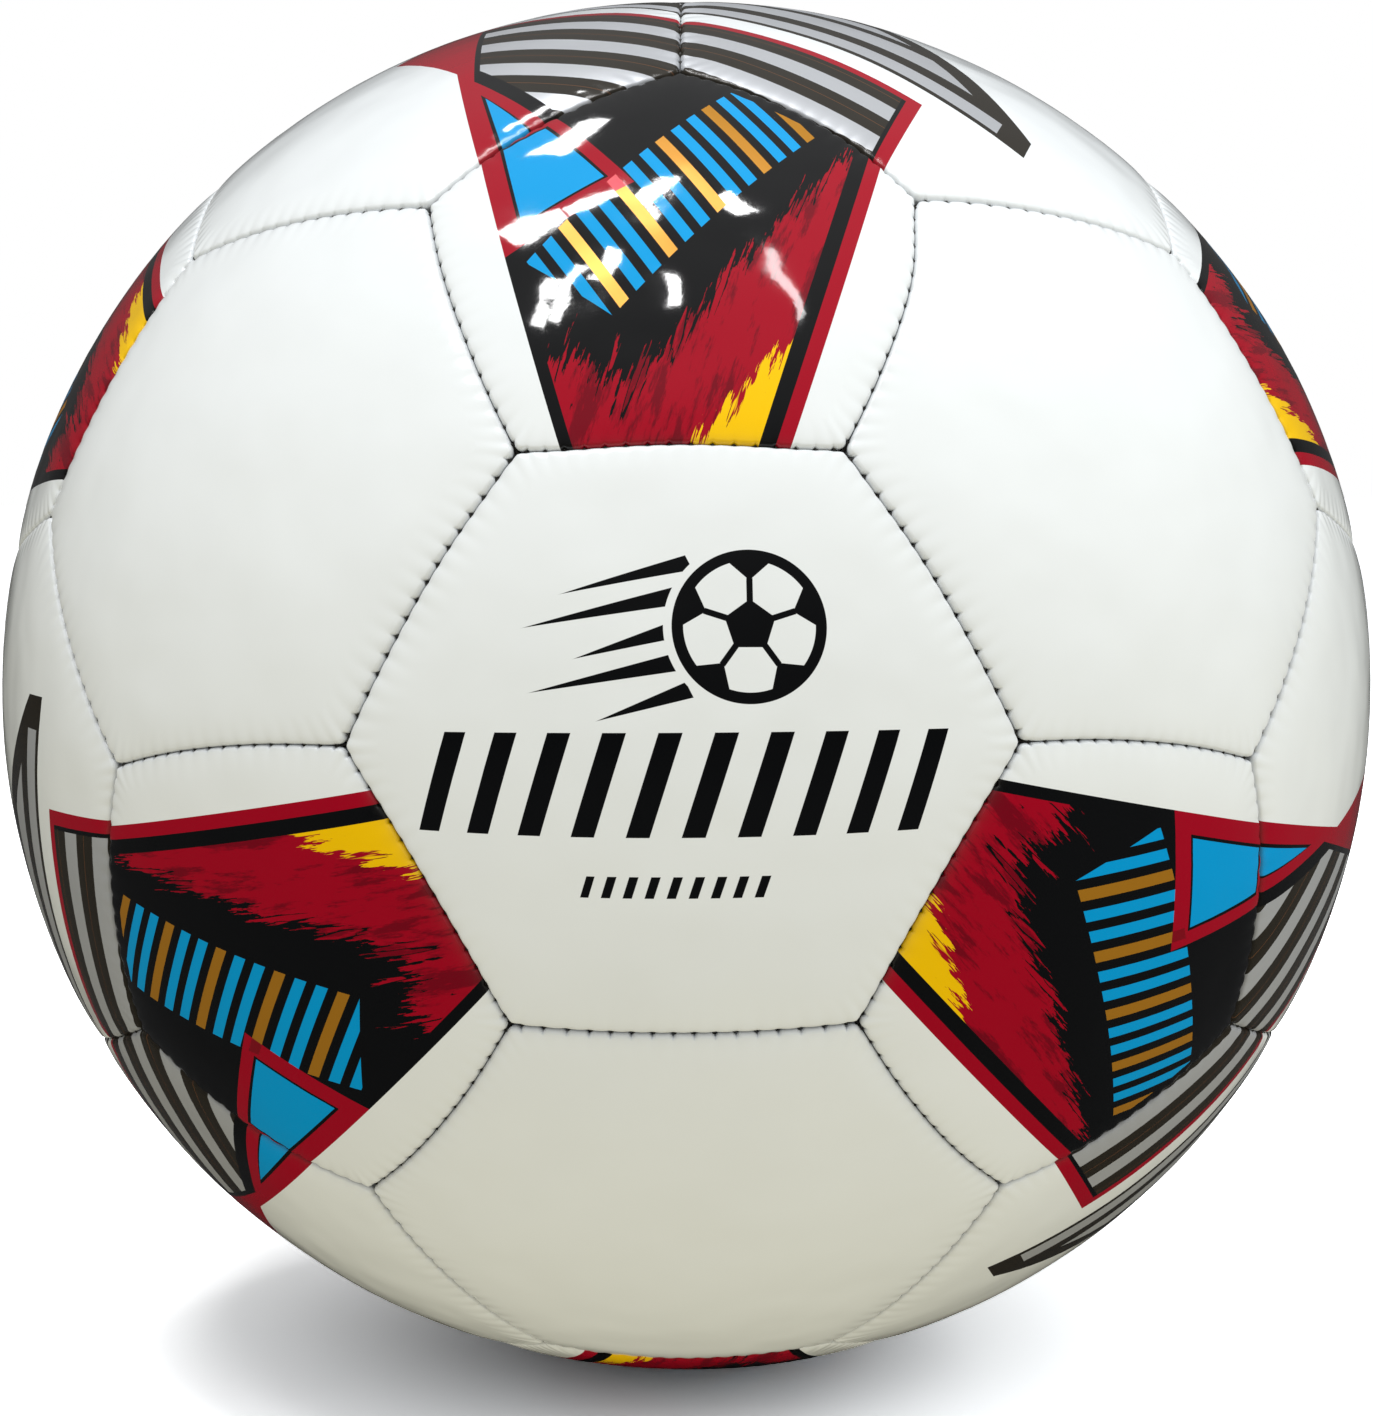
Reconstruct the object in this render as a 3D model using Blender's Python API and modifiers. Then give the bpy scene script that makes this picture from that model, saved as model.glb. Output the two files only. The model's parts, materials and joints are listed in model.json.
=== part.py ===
"""A size 5 football: 32 laminated panels stitched over an air bladder, with a rubber valve.

The ball's centre is the origin and +Z is up. A hexagon faces -Y with a pentagon
above it, and the hexagon opposite, at +Y, carries the valve. Lengths are in metres.
"""

from math import acos, asin, atan2, cos, pi, radians, sin, sqrt, tan, tau

import bmesh
import bpy
from mathutils import Matrix, Vector

# Ball and cover
BALL_RADIUS = 0.110
PANEL_THICKNESS = 0.0032  # printed skin, foam and cloth backing, bonded
SEAM_GAP = 0.0003  # between the walls of two neighbouring panels
SEAM_BEVEL = 0.0014  # how far a panel's edge rolls down into the seam
HEM_DEPTH = 0.0014  # the seam allowance, folded inwards below the panel
HEM_THICKNESS = 0.0014
STEPS_PER_SIDE = 3  # facets along one side of a panel
FACE_RINGS = 3  # facet rings from a panel's centre to its edge

# Stitching thread, lying in the seams
THREAD_DIAMETER = 0.0007
THREAD_CLEARANCE = 0.0003  # to the rolled edges on both sides

# Bladder and the cloth patch round the valve
BLADDER_WALL = 0.0010
LAYER_GAP = 0.0003  # between one layer and the next
PATCH_THICKNESS = 0.0005
PATCH_WIDTH = 0.011  # from the valve's neck to the patch's edge
BLADDER_STEPS = 11  # facets from the valve to the far side

# Valve: a rubber housing and the plug that seals it
PLUG_HEAD_RADIUS = 0.0029
PLUG_HEAD_HEIGHT = 0.0012
PLUG_SHANK_RADIUS = 0.0019
PLUG_LENGTH = 0.0205
RIB_HEIGHT = 0.00025
RIB_WIDTH = 0.0010
RIB_PLACES = (0.0050, 0.0090, 0.0130)  # below the head's top
CHANNEL_RADIUS = 0.0006  # the needle's way into the plug
CHANNEL_DEPTH = 0.0140
FUNNEL_RADIUS = 0.0012
PLUG_CLEARANCE = 0.00015
RIM_WIDTH = 0.0011
RIM_RECESS = 0.0006  # below the ball's surface
HEAD_RECESS = 0.0004  # below the housing's rim
FLANGE_WIDTH = 0.0070  # outwards from the neck, inside the bladder
FLANGE_THICKNESS = 0.0012
TAIL_WALL = 0.0012
TAIL_FLOOR = 0.0010
AIR_HOLE_RADIUS = 0.0010
TURNED_STEPS = 24

# What the sizes above lead to
THREAD_RADIUS = THREAD_DIAMETER / 2
THREAD_SINK = SEAM_GAP / 2 + SEAM_BEVEL - sqrt(2) * (THREAD_RADIUS + THREAD_CLEARANCE)
HEAD_SEAT_RADIUS = PLUG_HEAD_RADIUS + PLUG_CLEARANCE
NECK_RADIUS = HEAD_SEAT_RADIUS + RIM_WIDTH
BORE_RADIUS = PLUG_SHANK_RADIUS + RIB_HEIGHT + PLUG_CLEARANCE
VALVE_HOLE_RADIUS = NECK_RADIUS + LAYER_GAP
RIM_HEIGHT = BALL_RADIUS - RIM_RECESS
HEAD_TOP = RIM_HEIGHT - HEAD_RECESS
SEAT_HEIGHT = HEAD_TOP - PLUG_HEAD_HEIGHT - PLUG_CLEARANCE
PLUG_TIP = HEAD_TOP - PLUG_LENGTH

PRINTED = ("printed_panel_skin", (0.58, 0.02, 0.05, 1), 0.22, 0)
WHITE = ("white_panel_skin", (0.90, 0.89, 0.87, 1), 0.22, 0)
THREAD = ("waxed_thread", (0.16, 0.15, 0.14, 1), 0.60, 0)
BLADDER = ("bladder_rubber", (0.03, 0.03, 0.03, 1), 0.55, 0)
VALVE = ("valve_rubber", (0.05, 0.05, 0.05, 1), 0.45, 0)
CLOTH = ("patch_cloth", (0.75, 0.72, 0.64, 1), 0.85, 0)


def clear_scene():
    """Remove whatever the file held."""
    for item in list(bpy.data.objects):
        bpy.data.objects.remove(item, do_unlink=True)


def collection(name):
    """A new collection in the scene."""
    made = bpy.data.collections.new(name)
    bpy.context.scene.collection.children.link(made)
    return made


def material(name, color, roughness, metallic):
    """A Principled material, made once and shared."""
    found = bpy.data.materials.get(name)
    if found:
        return found
    made = bpy.data.materials.new(name)
    made.use_nodes = True
    shader = made.node_tree.nodes["Principled BSDF"]
    shader.inputs["Base Color"].default_value = color
    shader.inputs["Roughness"].default_value = roughness
    shader.inputs["Metallic"].default_value = metallic
    made.diffuse_color = color
    return made


def add_object(name, mesh, finish, home, parent):
    """An object of this mesh, in the finish given, under the ball's centre."""
    item = bpy.data.objects.new(name, mesh)
    home.objects.link(item)
    if not mesh.materials:
        mesh.materials.append(material(*finish))
    item.parent = parent
    return item


def sphere_point(polar, azimuth, radius):
    """The point at this angle from +Z, this turn about it and this radius."""
    flat = Vector((cos(azimuth), sin(azimuth), 0))
    return radius * (sin(polar) * flat + cos(polar) * Vector((0, 0, 1)))


def height_on_sphere(radius, reach):
    """How high a sphere stands at this distance from its axis."""
    return sqrt(radius * radius - reach * reach)


def panel_faces():
    """The ball's 32 faces as (sides, apothem angle, turn), pentagons first.

    An icosahedron with its corners cut off at a third of each edge has 12
    pentagons and 20 hexagons, all with the same side. The turn carries local +Z
    to the face's centre and local +X towards one of its corners.
    """
    bm = bmesh.new()
    bmesh.ops.create_icosphere(bm, subdivisions=1, radius=1)
    bmesh.ops.bevel(bm, geom=list(bm.verts), offset=100 / 3, offset_type="PERCENT", affect="VERTICES")
    front = next(face for face in bm.faces if len(face.verts) == 6)
    above = next(face for edge in front.edges for face in edge.link_faces if len(face.verts) == 5)
    back = -front.calc_center_median().normalized()
    side = back.cross(above.calc_center_median()).normalized()
    to_ball = Matrix((side, back, side.cross(back)))
    faces = []
    for face in bm.faces:
        center = (to_ball @ face.calc_center_median()).normalized()
        corner = to_ball @ face.verts[0].co
        middle = (face.verts[0].co + face.verts[1].co) / 2
        apothem = center.angle(to_ball @ middle)
        across = (corner - corner.dot(center) * center).normalized()
        turn = Matrix((across, center.cross(across), center)).transposed().to_4x4()
        faces.append((len(face.verts), apothem, turn))
    bm.free()
    return sorted(faces, key=reading_order)


def reading_order(face):
    """Pentagons before hexagons, then from the top down, then round from the front."""
    sides, _, turn = face
    center = turn.to_3x3() @ Vector((0, 0, 1))
    return sides, round(-center.z, 4), round(atan2(center.x, -center.y) % tau, 4)


def half_side(sides, apothem):
    """Half of a regular spherical polygon's side, as an angle at the ball's centre."""
    return atan2(sin(apothem) * tan(pi / sides), 1)


def outline_turns(sides, apothem):
    """Turns about the panel's centre of points evenly spaced along its sides, from a corner."""
    half = half_side(sides, apothem)
    turns = []
    for side in range(sides):
        for step in range(STEPS_PER_SIDE):
            along = half * (2 * step / STEPS_PER_SIDE - 1)
            turns.append(tau * (side + 0.5) / sides + atan2(tan(along), sin(apothem)))
    return turns


def edge_polar(turn, sides, apothem, inset):
    """Angle from the panel's centre to its outline moved inwards, at this turn.

    The outline is the plane that stands inset from the seam's own plane.
    """
    from_middle = (turn % (tau / sides)) - pi / sides
    rise = sin(apothem)
    run = cos(apothem) * cos(from_middle)
    return acos(sin(inset / BALL_RADIUS) / sqrt(rise * rise + run * run)) - atan2(run, rise)


def panel_section():
    """The section from the middle of the outer face round the edge to the inner face.

    Each row is (share of the way to the edge, inset from the seam, depth).
    """
    edge = SEAM_GAP / 2
    hem = edge + HEM_THICKNESS
    bottom = PANEL_THICKNESS + HEM_DEPTH
    shares = [ring / FACE_RINGS for ring in range(1, FACE_RINGS)]
    outer = [(share, edge + SEAM_BEVEL, 0) for share in shares]
    inner = [(share, hem, PANEL_THICKNESS) for share in reversed(shares)]
    rim = [
        (1, edge + SEAM_BEVEL, 0),
        (1, edge, SEAM_BEVEL),
        (1, edge, bottom),
        (1, hem, bottom),
        (1, hem, PANEL_THICKNESS),
    ]
    return outer + rim + inner


def close_ring(bm, ring, depth):
    """Fill a ring of edges with a fan about the panel's centre."""
    face = bmesh.ops.contextual_create(bm, geom=ring)["faces"][0]
    center = bmesh.ops.poke(bm, faces=[face])["verts"][0]
    center.co = (0, 0, BALL_RADIUS - depth)


def panel_mesh(name, sides, apothem):
    """One panel about local +Z, its outline lofted through the section."""
    bm = bmesh.new()
    turns = outline_turns(sides, apothem)
    bmesh.ops.create_circle(bm, segments=len(turns), radius=1)
    for vert, turn in zip(bm.verts, turns):
        vert.co = sphere_point(pi / 2, turn, 1)
    section = panel_section()
    ring = list(bm.edges)
    first_ring = ring
    for row, (share, inset, depth) in enumerate(section):
        if row:
            grown = bmesh.ops.extrude_edge_only(bm, edges=ring)["geom"]
            ring = [part for part in grown if isinstance(part, bmesh.types.BMEdge)]
        for vert in {vert for edge in ring for vert in edge.verts}:
            turn = atan2(vert.co.y, vert.co.x) % tau
            polar = share * edge_polar(turn, sides, apothem, inset)
            vert.co = sphere_point(polar, turn, BALL_RADIUS - depth)
    close_ring(bm, first_ring, section[0][2])
    close_ring(bm, ring, section[-1][2])
    bmesh.ops.recalc_face_normals(bm, faces=bm.faces)
    mesh = bpy.data.meshes.new(name)
    bm.to_mesh(mesh)
    bm.free()
    mesh.shade_smooth()
    mesh.set_sharp_from_angle(angle=radians(25))
    return mesh


def seam_side_turns(sides, apothem, half_width):
    """Like outline_turns, with each corner widened into two points for a branch to leave from."""
    corner_polar = edge_polar(0, sides, apothem, 0)
    spread = half_width / (BALL_RADIUS * sin(corner_polar))
    turns = outline_turns(sides, apothem)
    corners = turns[::STEPS_PER_SIDE]
    between = [turn for turn in turns if turn not in corners]
    return sorted([turn + shift for turn in corners for shift in (-spread, spread)] + between)


def thread_mesh(name, apothem):
    """The thread of one pentagon about local +Z: its loop and half of each spoke seam.

    The section is a square inside the thread's round. A face of the loop at each
    corner is drawn out along the seam between the two hexagons that meet there.
    """
    half_width = THREAD_RADIUS / sqrt(2)
    top = THREAD_SINK - half_width
    bottom = THREAD_SINK + half_width
    turns = seam_side_turns(5, apothem, half_width)
    bm = bmesh.new()
    bmesh.ops.create_circle(bm, segments=len(turns), radius=1)
    for vert, turn in zip(bm.verts, turns):
        vert.co = sphere_point(pi / 2, turn, 1)
    first_ring = list(bm.edges)
    ring = first_ring
    for row, (inset, depth) in enumerate(
        [(half_width, top), (-half_width, top), (-half_width, bottom), (half_width, bottom)]
    ):
        if row:
            grown = bmesh.ops.extrude_edge_only(bm, edges=ring)["geom"]
            ring = [part for part in grown if isinstance(part, bmesh.types.BMEdge)]
        for vert in {vert for edge in ring for vert in edge.verts}:
            turn = atan2(vert.co.y, vert.co.x) % tau
            vert.co = sphere_point(edge_polar(turn, 5, apothem, inset), turn, BALL_RADIUS - depth)
    bmesh.ops.bridge_loops(bm, edges=first_ring + ring)
    bmesh.ops.recalc_face_normals(bm, faces=bm.faces)
    for corner in range(5):
        draw_out_spoke(bm, tau * corner / 5, apothem)
    mesh = bpy.data.meshes.new(name)
    bm.to_mesh(mesh)
    bm.free()
    return mesh


def draw_out_spoke(bm, turn, apothem):
    """Extrude the loop's corner face along the spoke seam to just short of its middle."""
    outwards = sphere_point(pi / 2, turn, 1)
    tip = max(bm.faces, key=lambda face: face.calc_center_median().dot(outwards))
    corner_polar = edge_polar(0, 5, apothem, 0)
    side = 2 * half_side(5, apothem)
    steps = [step / STEPS_PER_SIDE for step in range(1, STEPS_PER_SIDE) if step < STEPS_PER_SIDE / 2]
    steps.append(0.5 - LAYER_GAP / (BALL_RADIUS * side))
    axis = Vector((0, 0, 1)).cross(outwards)
    for share in steps:
        tip = bmesh.ops.extrude_discrete_faces(bm, faces=[tip])["faces"][0]
        here = tip.calc_center_median()
        swing = corner_polar + side * share - atan2(here.dot(outwards), here.z)
        bmesh.ops.rotate(bm, verts=tip.verts, cent=(0, 0, 0), matrix=Matrix.Rotation(swing, 3, axis))


def turned_mesh(name, profile, closed):
    """A line of (distance from the axis, height) points, ready for a Screw modifier."""
    points = [(reach, 0, height) for reach, height in profile]
    edges = [(place, place + 1) for place in range(len(points) - 1)]
    if closed:
        edges.append((len(points) - 1, 0))
    mesh = bpy.data.meshes.new(name)
    mesh.from_pydata(points, edges, [])
    return mesh


def turn_about_axis(item):
    """Spin the profile about the valve's axis, which is +Y of the ball."""
    screw = item.modifiers.new("turned", "SCREW")
    screw.axis = "Z"
    screw.angle = tau
    screw.steps = TURNED_STEPS
    screw.render_steps = TURNED_STEPS
    screw.use_merge_vertices = True
    screw.merge_threshold = 0.00001
    screw.use_smooth_shade = True
    item.rotation_euler = (-pi / 2, 0, 0)


def facet_sag(radius, angle):
    """How far a chord of this angle dips below its circle."""
    return radius * (1 - cos(angle / 2))


def bladder_radius(side_angle):
    """The bladder fills the cover as far as the hems, whose facets dip below their circle."""
    hem_bottom = BALL_RADIUS - PANEL_THICKNESS - HEM_DEPTH
    return hem_bottom - facet_sag(hem_bottom, side_angle / STEPS_PER_SIDE) - LAYER_GAP


def bladder_profile(outer):
    """Up the inside from the far pole, over the valve's hole and down the outside."""
    inner = outer - BLADDER_WALL
    hole = NECK_RADIUS + LAYER_GAP
    near = asin((NECK_RADIUS + FLANGE_WIDTH + LAYER_GAP) / inner)
    polars = [near + (pi - near) * step / BLADDER_STEPS for step in range(BLADDER_STEPS)]
    inside = [(inner * sin(polar), inner * cos(polar)) for polar in reversed(polars)]
    outside = [(outer * sin(polar), outer * cos(polar)) for polar in polars]
    mouth = [(hole, height_on_sphere(inner, hole)), (hole, height_on_sphere(outer, hole))]
    return [(0, -inner)] + inside + mouth + outside + [(0, -outer)]


def patch_profile(hexagon_side_angle):
    """A ring that follows the valve panel's inner face, which dips in facets."""
    face = BALL_RADIUS - PANEL_THICKNESS
    dip = facet_sag(face, sqrt(2) * hexagon_side_angle / STEPS_PER_SIDE)
    outer = face - dip - LAYER_GAP
    inner = outer - PATCH_THICKNESS
    near = NECK_RADIUS + LAYER_GAP
    reaches = [near, near + PATCH_WIDTH / 2, near + PATCH_WIDTH]
    top = [(reach, height_on_sphere(outer, reach)) for reach in reaches]
    bottom = [(reach, height_on_sphere(inner, reach)) for reach in reversed(reaches)]
    return top + bottom


def housing_profile(bladder_outer):
    """Down the neck, over the flange inside the bladder, down the tail and up the bore."""
    flange_sphere = bladder_outer - BLADDER_WALL - LAYER_GAP
    flange_reach = NECK_RADIUS + FLANGE_WIDTH
    flange_edge = height_on_sphere(flange_sphere, flange_reach)
    flange_bottom = flange_edge - FLANGE_THICKNESS
    tail_reach = BORE_RADIUS + TAIL_WALL
    bore_floor = PLUG_TIP - PLUG_CLEARANCE
    return [
        (NECK_RADIUS, RIM_HEIGHT),
        (NECK_RADIUS, height_on_sphere(flange_sphere, NECK_RADIUS)),
        (flange_reach, flange_edge),
        (flange_reach, flange_bottom),
        (tail_reach, flange_bottom),
        (tail_reach, bore_floor - TAIL_FLOOR),
        (AIR_HOLE_RADIUS, bore_floor - TAIL_FLOOR),
        (AIR_HOLE_RADIUS, bore_floor),
        (BORE_RADIUS, bore_floor),
        (BORE_RADIUS, SEAT_HEIGHT),
        (HEAD_SEAT_RADIUS, SEAT_HEIGHT),
        (HEAD_SEAT_RADIUS, RIM_HEIGHT),
    ]


def plug_profile():
    """Up the needle's channel, over the head and down the ribbed shank to the tip."""
    funnel_bottom = HEAD_TOP - (FUNNEL_RADIUS - CHANNEL_RADIUS)
    points = [
        (0, HEAD_TOP - CHANNEL_DEPTH),
        (CHANNEL_RADIUS, HEAD_TOP - CHANNEL_DEPTH + CHANNEL_RADIUS),
        (CHANNEL_RADIUS, funnel_bottom),
        (FUNNEL_RADIUS, HEAD_TOP),
        (PLUG_HEAD_RADIUS, HEAD_TOP),
        (PLUG_HEAD_RADIUS, HEAD_TOP - PLUG_HEAD_HEIGHT),
        (PLUG_SHANK_RADIUS, HEAD_TOP - PLUG_HEAD_HEIGHT),
    ]
    for place in RIB_PLACES:
        top = HEAD_TOP - place
        points.append((PLUG_SHANK_RADIUS, top))
        points.append((PLUG_SHANK_RADIUS + RIB_HEIGHT, top - RIB_WIDTH / 2))
        points.append((PLUG_SHANK_RADIUS, top - RIB_WIDTH))
    points.append((PLUG_SHANK_RADIUS, PLUG_TIP + PLUG_SHANK_RADIUS / 2))
    points.append((PLUG_SHANK_RADIUS / 2, PLUG_TIP))
    points.append((0, PLUG_TIP))
    return points


def add_panels(faces, home, parent):
    """The 32 panels. The hexagon at +Y is returned to be cut for the valve."""
    meshes = {}
    counts = {5: 0, 6: 0}
    names = {5: "pentagon_panel", 6: "hexagon_panel"}
    finishes = {5: PRINTED, 6: WHITE}
    valve_panel = None
    for sides, apothem, turn in faces:
        if sides not in meshes:
            meshes[sides] = panel_mesh(names[sides], sides, apothem)
        if (turn.to_3x3() @ Vector((0, 0, 1))).y > 0.999:
            mesh = meshes[sides].copy()
            valve_panel = add_object("valve_panel", mesh, finishes[sides], home, parent)
            valve_panel.matrix_local = turn
            continue
        counts[sides] += 1
        name = f"{names[sides]}_{counts[sides]:02d}"
        panel = add_object(name, meshes[sides], finishes[sides], home, parent)
        panel.matrix_local = turn
    return valve_panel


def add_threads(faces, home, parent):
    """One thread for each pentagon, meeting its neighbours halfway along the hexagons' seams."""
    pentagons = [face for face in faces if face[0] == 5]
    mesh = thread_mesh("seam_thread", pentagons[0][1])
    for place, (_, _, turn) in enumerate(pentagons, start=1):
        thread = add_object(f"seam_thread_{place:02d}", mesh, THREAD, home, parent)
        thread.matrix_local = turn


def cut_valve_hole(panel, cutters):
    """Cut the round hole that the valve's neck comes through."""
    bpy.ops.mesh.primitive_cylinder_add(
        vertices=TURNED_STEPS,
        radius=VALVE_HOLE_RADIUS,
        depth=BALL_RADIUS,
        location=(0, BALL_RADIUS, 0),
        rotation=(pi / 2, 0, 0),
    )
    cutter = bpy.context.object
    cutter.name = "valve_hole_cutter"
    for home in list(cutter.users_collection):
        home.objects.unlink(cutter)
    cutters.objects.link(cutter)
    cutter.hide_render = True
    cutter.display_type = "WIRE"
    cut = panel.modifiers.new("valve_hole", "BOOLEAN")
    cut.operation = "DIFFERENCE"
    cut.solver = "EXACT"
    cut.object = cutter


def add_inside(faces, home, parent):
    """The bladder, its valve and the cloth patch, all turned about the valve's axis."""
    hexagon = faces[-1]
    side_angle = 2 * half_side(hexagon[0], hexagon[1])
    outer = bladder_radius(side_angle)
    pieces = [
        ("bladder", bladder_profile(outer), False, BLADDER),
        ("valve_patch", patch_profile(side_angle), True, CLOTH),
        ("valve_housing", housing_profile(outer), True, VALVE),
        ("valve_core", plug_profile(), False, VALVE),
    ]
    for name, profile, closed, finish in pieces:
        item = add_object(name, turned_mesh(name, profile, closed), finish, home, parent)
        turn_about_axis(item)


def main():
    clear_scene()
    ball = collection("soccer_ball")
    cutters = collection("cutters")
    center = bpy.data.objects.new("ball_center", None)
    ball.objects.link(center)
    faces = panel_faces()
    valve_panel = add_panels(faces, ball, center)
    cut_valve_hole(valve_panel, cutters)
    add_threads(faces, ball, center)
    add_inside(faces, ball, center)


main()
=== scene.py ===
import json
from itertools import combinations

import bpy
import numpy as np
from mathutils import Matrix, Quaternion, Vector


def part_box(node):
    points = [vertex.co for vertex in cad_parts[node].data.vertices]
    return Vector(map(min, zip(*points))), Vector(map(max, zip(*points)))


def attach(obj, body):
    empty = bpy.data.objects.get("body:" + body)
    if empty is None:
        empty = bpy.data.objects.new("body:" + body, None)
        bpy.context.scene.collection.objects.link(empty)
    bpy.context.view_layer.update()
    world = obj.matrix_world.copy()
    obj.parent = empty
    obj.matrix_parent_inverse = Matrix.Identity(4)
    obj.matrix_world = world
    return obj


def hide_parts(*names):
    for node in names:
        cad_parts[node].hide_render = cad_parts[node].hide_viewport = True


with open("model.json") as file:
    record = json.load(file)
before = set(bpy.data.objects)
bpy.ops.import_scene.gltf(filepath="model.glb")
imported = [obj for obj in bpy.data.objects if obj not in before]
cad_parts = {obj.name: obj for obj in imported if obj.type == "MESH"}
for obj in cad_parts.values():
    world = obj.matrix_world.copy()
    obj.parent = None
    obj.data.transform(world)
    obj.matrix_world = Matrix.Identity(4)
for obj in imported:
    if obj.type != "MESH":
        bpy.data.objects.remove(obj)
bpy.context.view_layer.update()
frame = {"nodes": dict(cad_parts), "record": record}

mm = 0.001
mounts = {mount["name"]: mount["pos_m"] for mount in frame["record"]["mounts"]}
ballRadius = -mounts["ground_contact"][2]
print("frame loaded, ball radius", ballRadius)


# small numpy helpers

def unit(vectors):
    # each vector divided by its own length
    return vectors / np.linalg.norm(vectors, axis=-1, keepdims=True)


def smoothStep(low, high, values):
    # 3t^2 - 2t^3, with t the share of the way from low to high
    t = np.clip((values - low) / (high - low), 0, 1)
    return t * t * (3 - 2 * t)


def makeMesh(name, points, faceGroups, smooth=True):
    # points as rows; each face group is a whole array of faces with one corner count
    mesh = bpy.data.meshes.new(name)
    loops = np.concatenate([group.ravel() for group in faceGroups])
    counts = np.concatenate([np.full(len(group), group.shape[1]) for group in faceGroups])
    starts = np.concatenate([[0], np.cumsum(counts)[:-1]])
    mesh.vertices.add(len(points))
    mesh.vertices.foreach_set("co", points.astype(np.float32).ravel())
    mesh.loops.add(len(loops))
    mesh.loops.foreach_set("vertex_index", loops.astype(np.int32))
    mesh.polygons.add(len(counts))
    mesh.polygons.foreach_set("loop_start", starts.astype(np.int32))
    mesh.polygons.foreach_set("use_smooth", np.full(len(counts), smooth))
    mesh.update(calc_edges=True)
    mesh.validate()
    return mesh


def addPiece(name, mesh, body, nodes, material):
    # link the mesh as a piece that rides on its body and stands for its CAD nodes
    piece = bpy.data.objects.new(name, mesh)
    bpy.context.scene.collection.objects.link(piece)
    mesh.materials.append(material)
    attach(piece, body)
    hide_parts(*nodes)
    return piece


# shader wiring helpers

def tone(red, green, blue):
    # a display colour in 0-255 as the linear colour the shader wants
    shown = np.array([red, green, blue]) / 255
    linear = np.where(shown <= 0.04045, shown / 12.92, ((shown + 0.055) / 1.055) ** 2.4)
    return (*linear.tolist(), 1.0)


def feed(tree, node, inputs):
    # each input, by its place or its name, takes a link from a socket or else a plain value
    for place, value in inputs.items():
        if isinstance(value, bpy.types.NodeSocket):
            tree.links.new(value, node.inputs[place])
        else:
            node.inputs[place].default_value = value


def put(tree, kind, *inputs, **settings):
    # a new node of this kind, with its settings and its first inputs
    node = tree.nodes.new("ShaderNode" + kind)
    for key, value in settings.items():
        setattr(node, key, value)
    feed(tree, node, dict(enumerate(inputs)))
    return node


def num(tree, operation, *inputs, clamp=False):
    # one sum on numbers, held between 0 and 1 if clamped
    return put(tree, "Math", *inputs, operation=operation, use_clamp=clamp).outputs[0]


def less(tree, value, taken):
    # value minus what is taken away, either of them a socket or a number
    return num(tree, "SUBTRACT", value, taken)


def times(tree, value, factor):
    return num(tree, "MULTIPLY", value, factor)  # value times factor


def dot(tree, vector, weights):
    # weighted sum of the vector's three parts
    return put(tree, "VectorMath", vector, weights, operation="DOT_PRODUCT").outputs["Value"]


def lineField(tree, point, start, end):
    # signed distance to the line through start and end, positive on its left
    (ax, ay), (bx, by) = start, end
    length = np.hypot(bx - ax, by - ay)
    nx, ny = (ay - by) / length, (bx - ax) / length
    return dot(tree, point, (nx, ny, -(nx * ax + ny * ay)))


def within(tree, *fields):
    # inside every field: the smallest of them
    total = fields[0]
    for field in fields[1:]:
        total = num(tree, "MINIMUM", total, field)
    return total


def either(tree, *fields):
    # inside any of the fields: the largest of them
    total = fields[0]
    for field in fields[1:]:
        total = num(tree, "MAXIMUM", total, field)
    return total


def shapeField(tree, point, corners):
    # a convex shape with its corners anticlockwise, as the overlap of its edges' left sides
    pairs = zip(corners, corners[1:] + corners[:1])
    return within(tree, *[lineField(tree, point, start, end) for start, end in pairs])


def mask(tree, field, soft=0.05):
    # 1 inside the field and 0 outside, with an edge this soft
    return num(tree, "MULTIPLY_ADD", field, 1 / soft, 0.5, clamp=True)


def paint(tree, under, over, amount):
    # under times (1 - amount) plus over times amount
    node = put(tree, "Mix", data_type="RGBA")
    feed(tree, node, {0: amount, 6: under, 7: over})
    return node.outputs[2]


def noise(tree, vector, scale, detail=2.0, roughness=0.5):
    # smooth random values round 0.5, with this many lumps to a unit
    node = put(tree, "TexNoise", vector)
    feed(tree, node, {"Scale": scale, "Detail": detail, "Roughness": roughness})
    return node.outputs["Fac"]


def curve(tree, value, low, high, points):
    # a line drawn through the given (place, height) points; both run from low to high
    node = put(tree, "FloatCurve", 1.0, num(tree, "DIVIDE", less(tree, value, low), high - low))
    line = node.mapping.curves[0]
    spots = [((x - low) / (high - low), (y - low) / (high - low)) for x, y in points]
    line.points[0].location = spots[0]
    line.points[1].location = spots[-1]
    for spot in spots[1:-1]:
        line.points.new(*spot)
    for spot in line.points:
        spot.handle_type = "VECTOR"
    node.mapping.use_clip = False
    node.mapping.update()
    return num(tree, "MULTIPLY_ADD", node.outputs[0], high - low, low)


def newGroup(name, inputs, outputs):
    # an empty node group with its named sockets
    tree = bpy.data.node_groups.new(name, "ShaderNodeTree")
    for label, kind, value in inputs:
        socket = tree.interface.new_socket(label, in_out="INPUT", socket_type="NodeSocket" + kind)
        socket.default_value = value
    for label, kind in outputs:
        tree.interface.new_socket(label, in_out="OUTPUT", socket_type="NodeSocket" + kind)
    return tree, tree.nodes.new("NodeGroupInput"), tree.nodes.new("NodeGroupOutput")


def closeGroup(tree, end, **outputs):
    # hand the finished values to the group's own outputs
    feed(tree, end, outputs)
    return tree


def useGroup(tree, group, **inputs):
    # place a group in a tree and fill its named inputs
    node = tree.nodes.new("ShaderNodeGroup")
    node.node_tree = group
    feed(tree, node, inputs)
    return node


# how the panels lie

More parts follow.
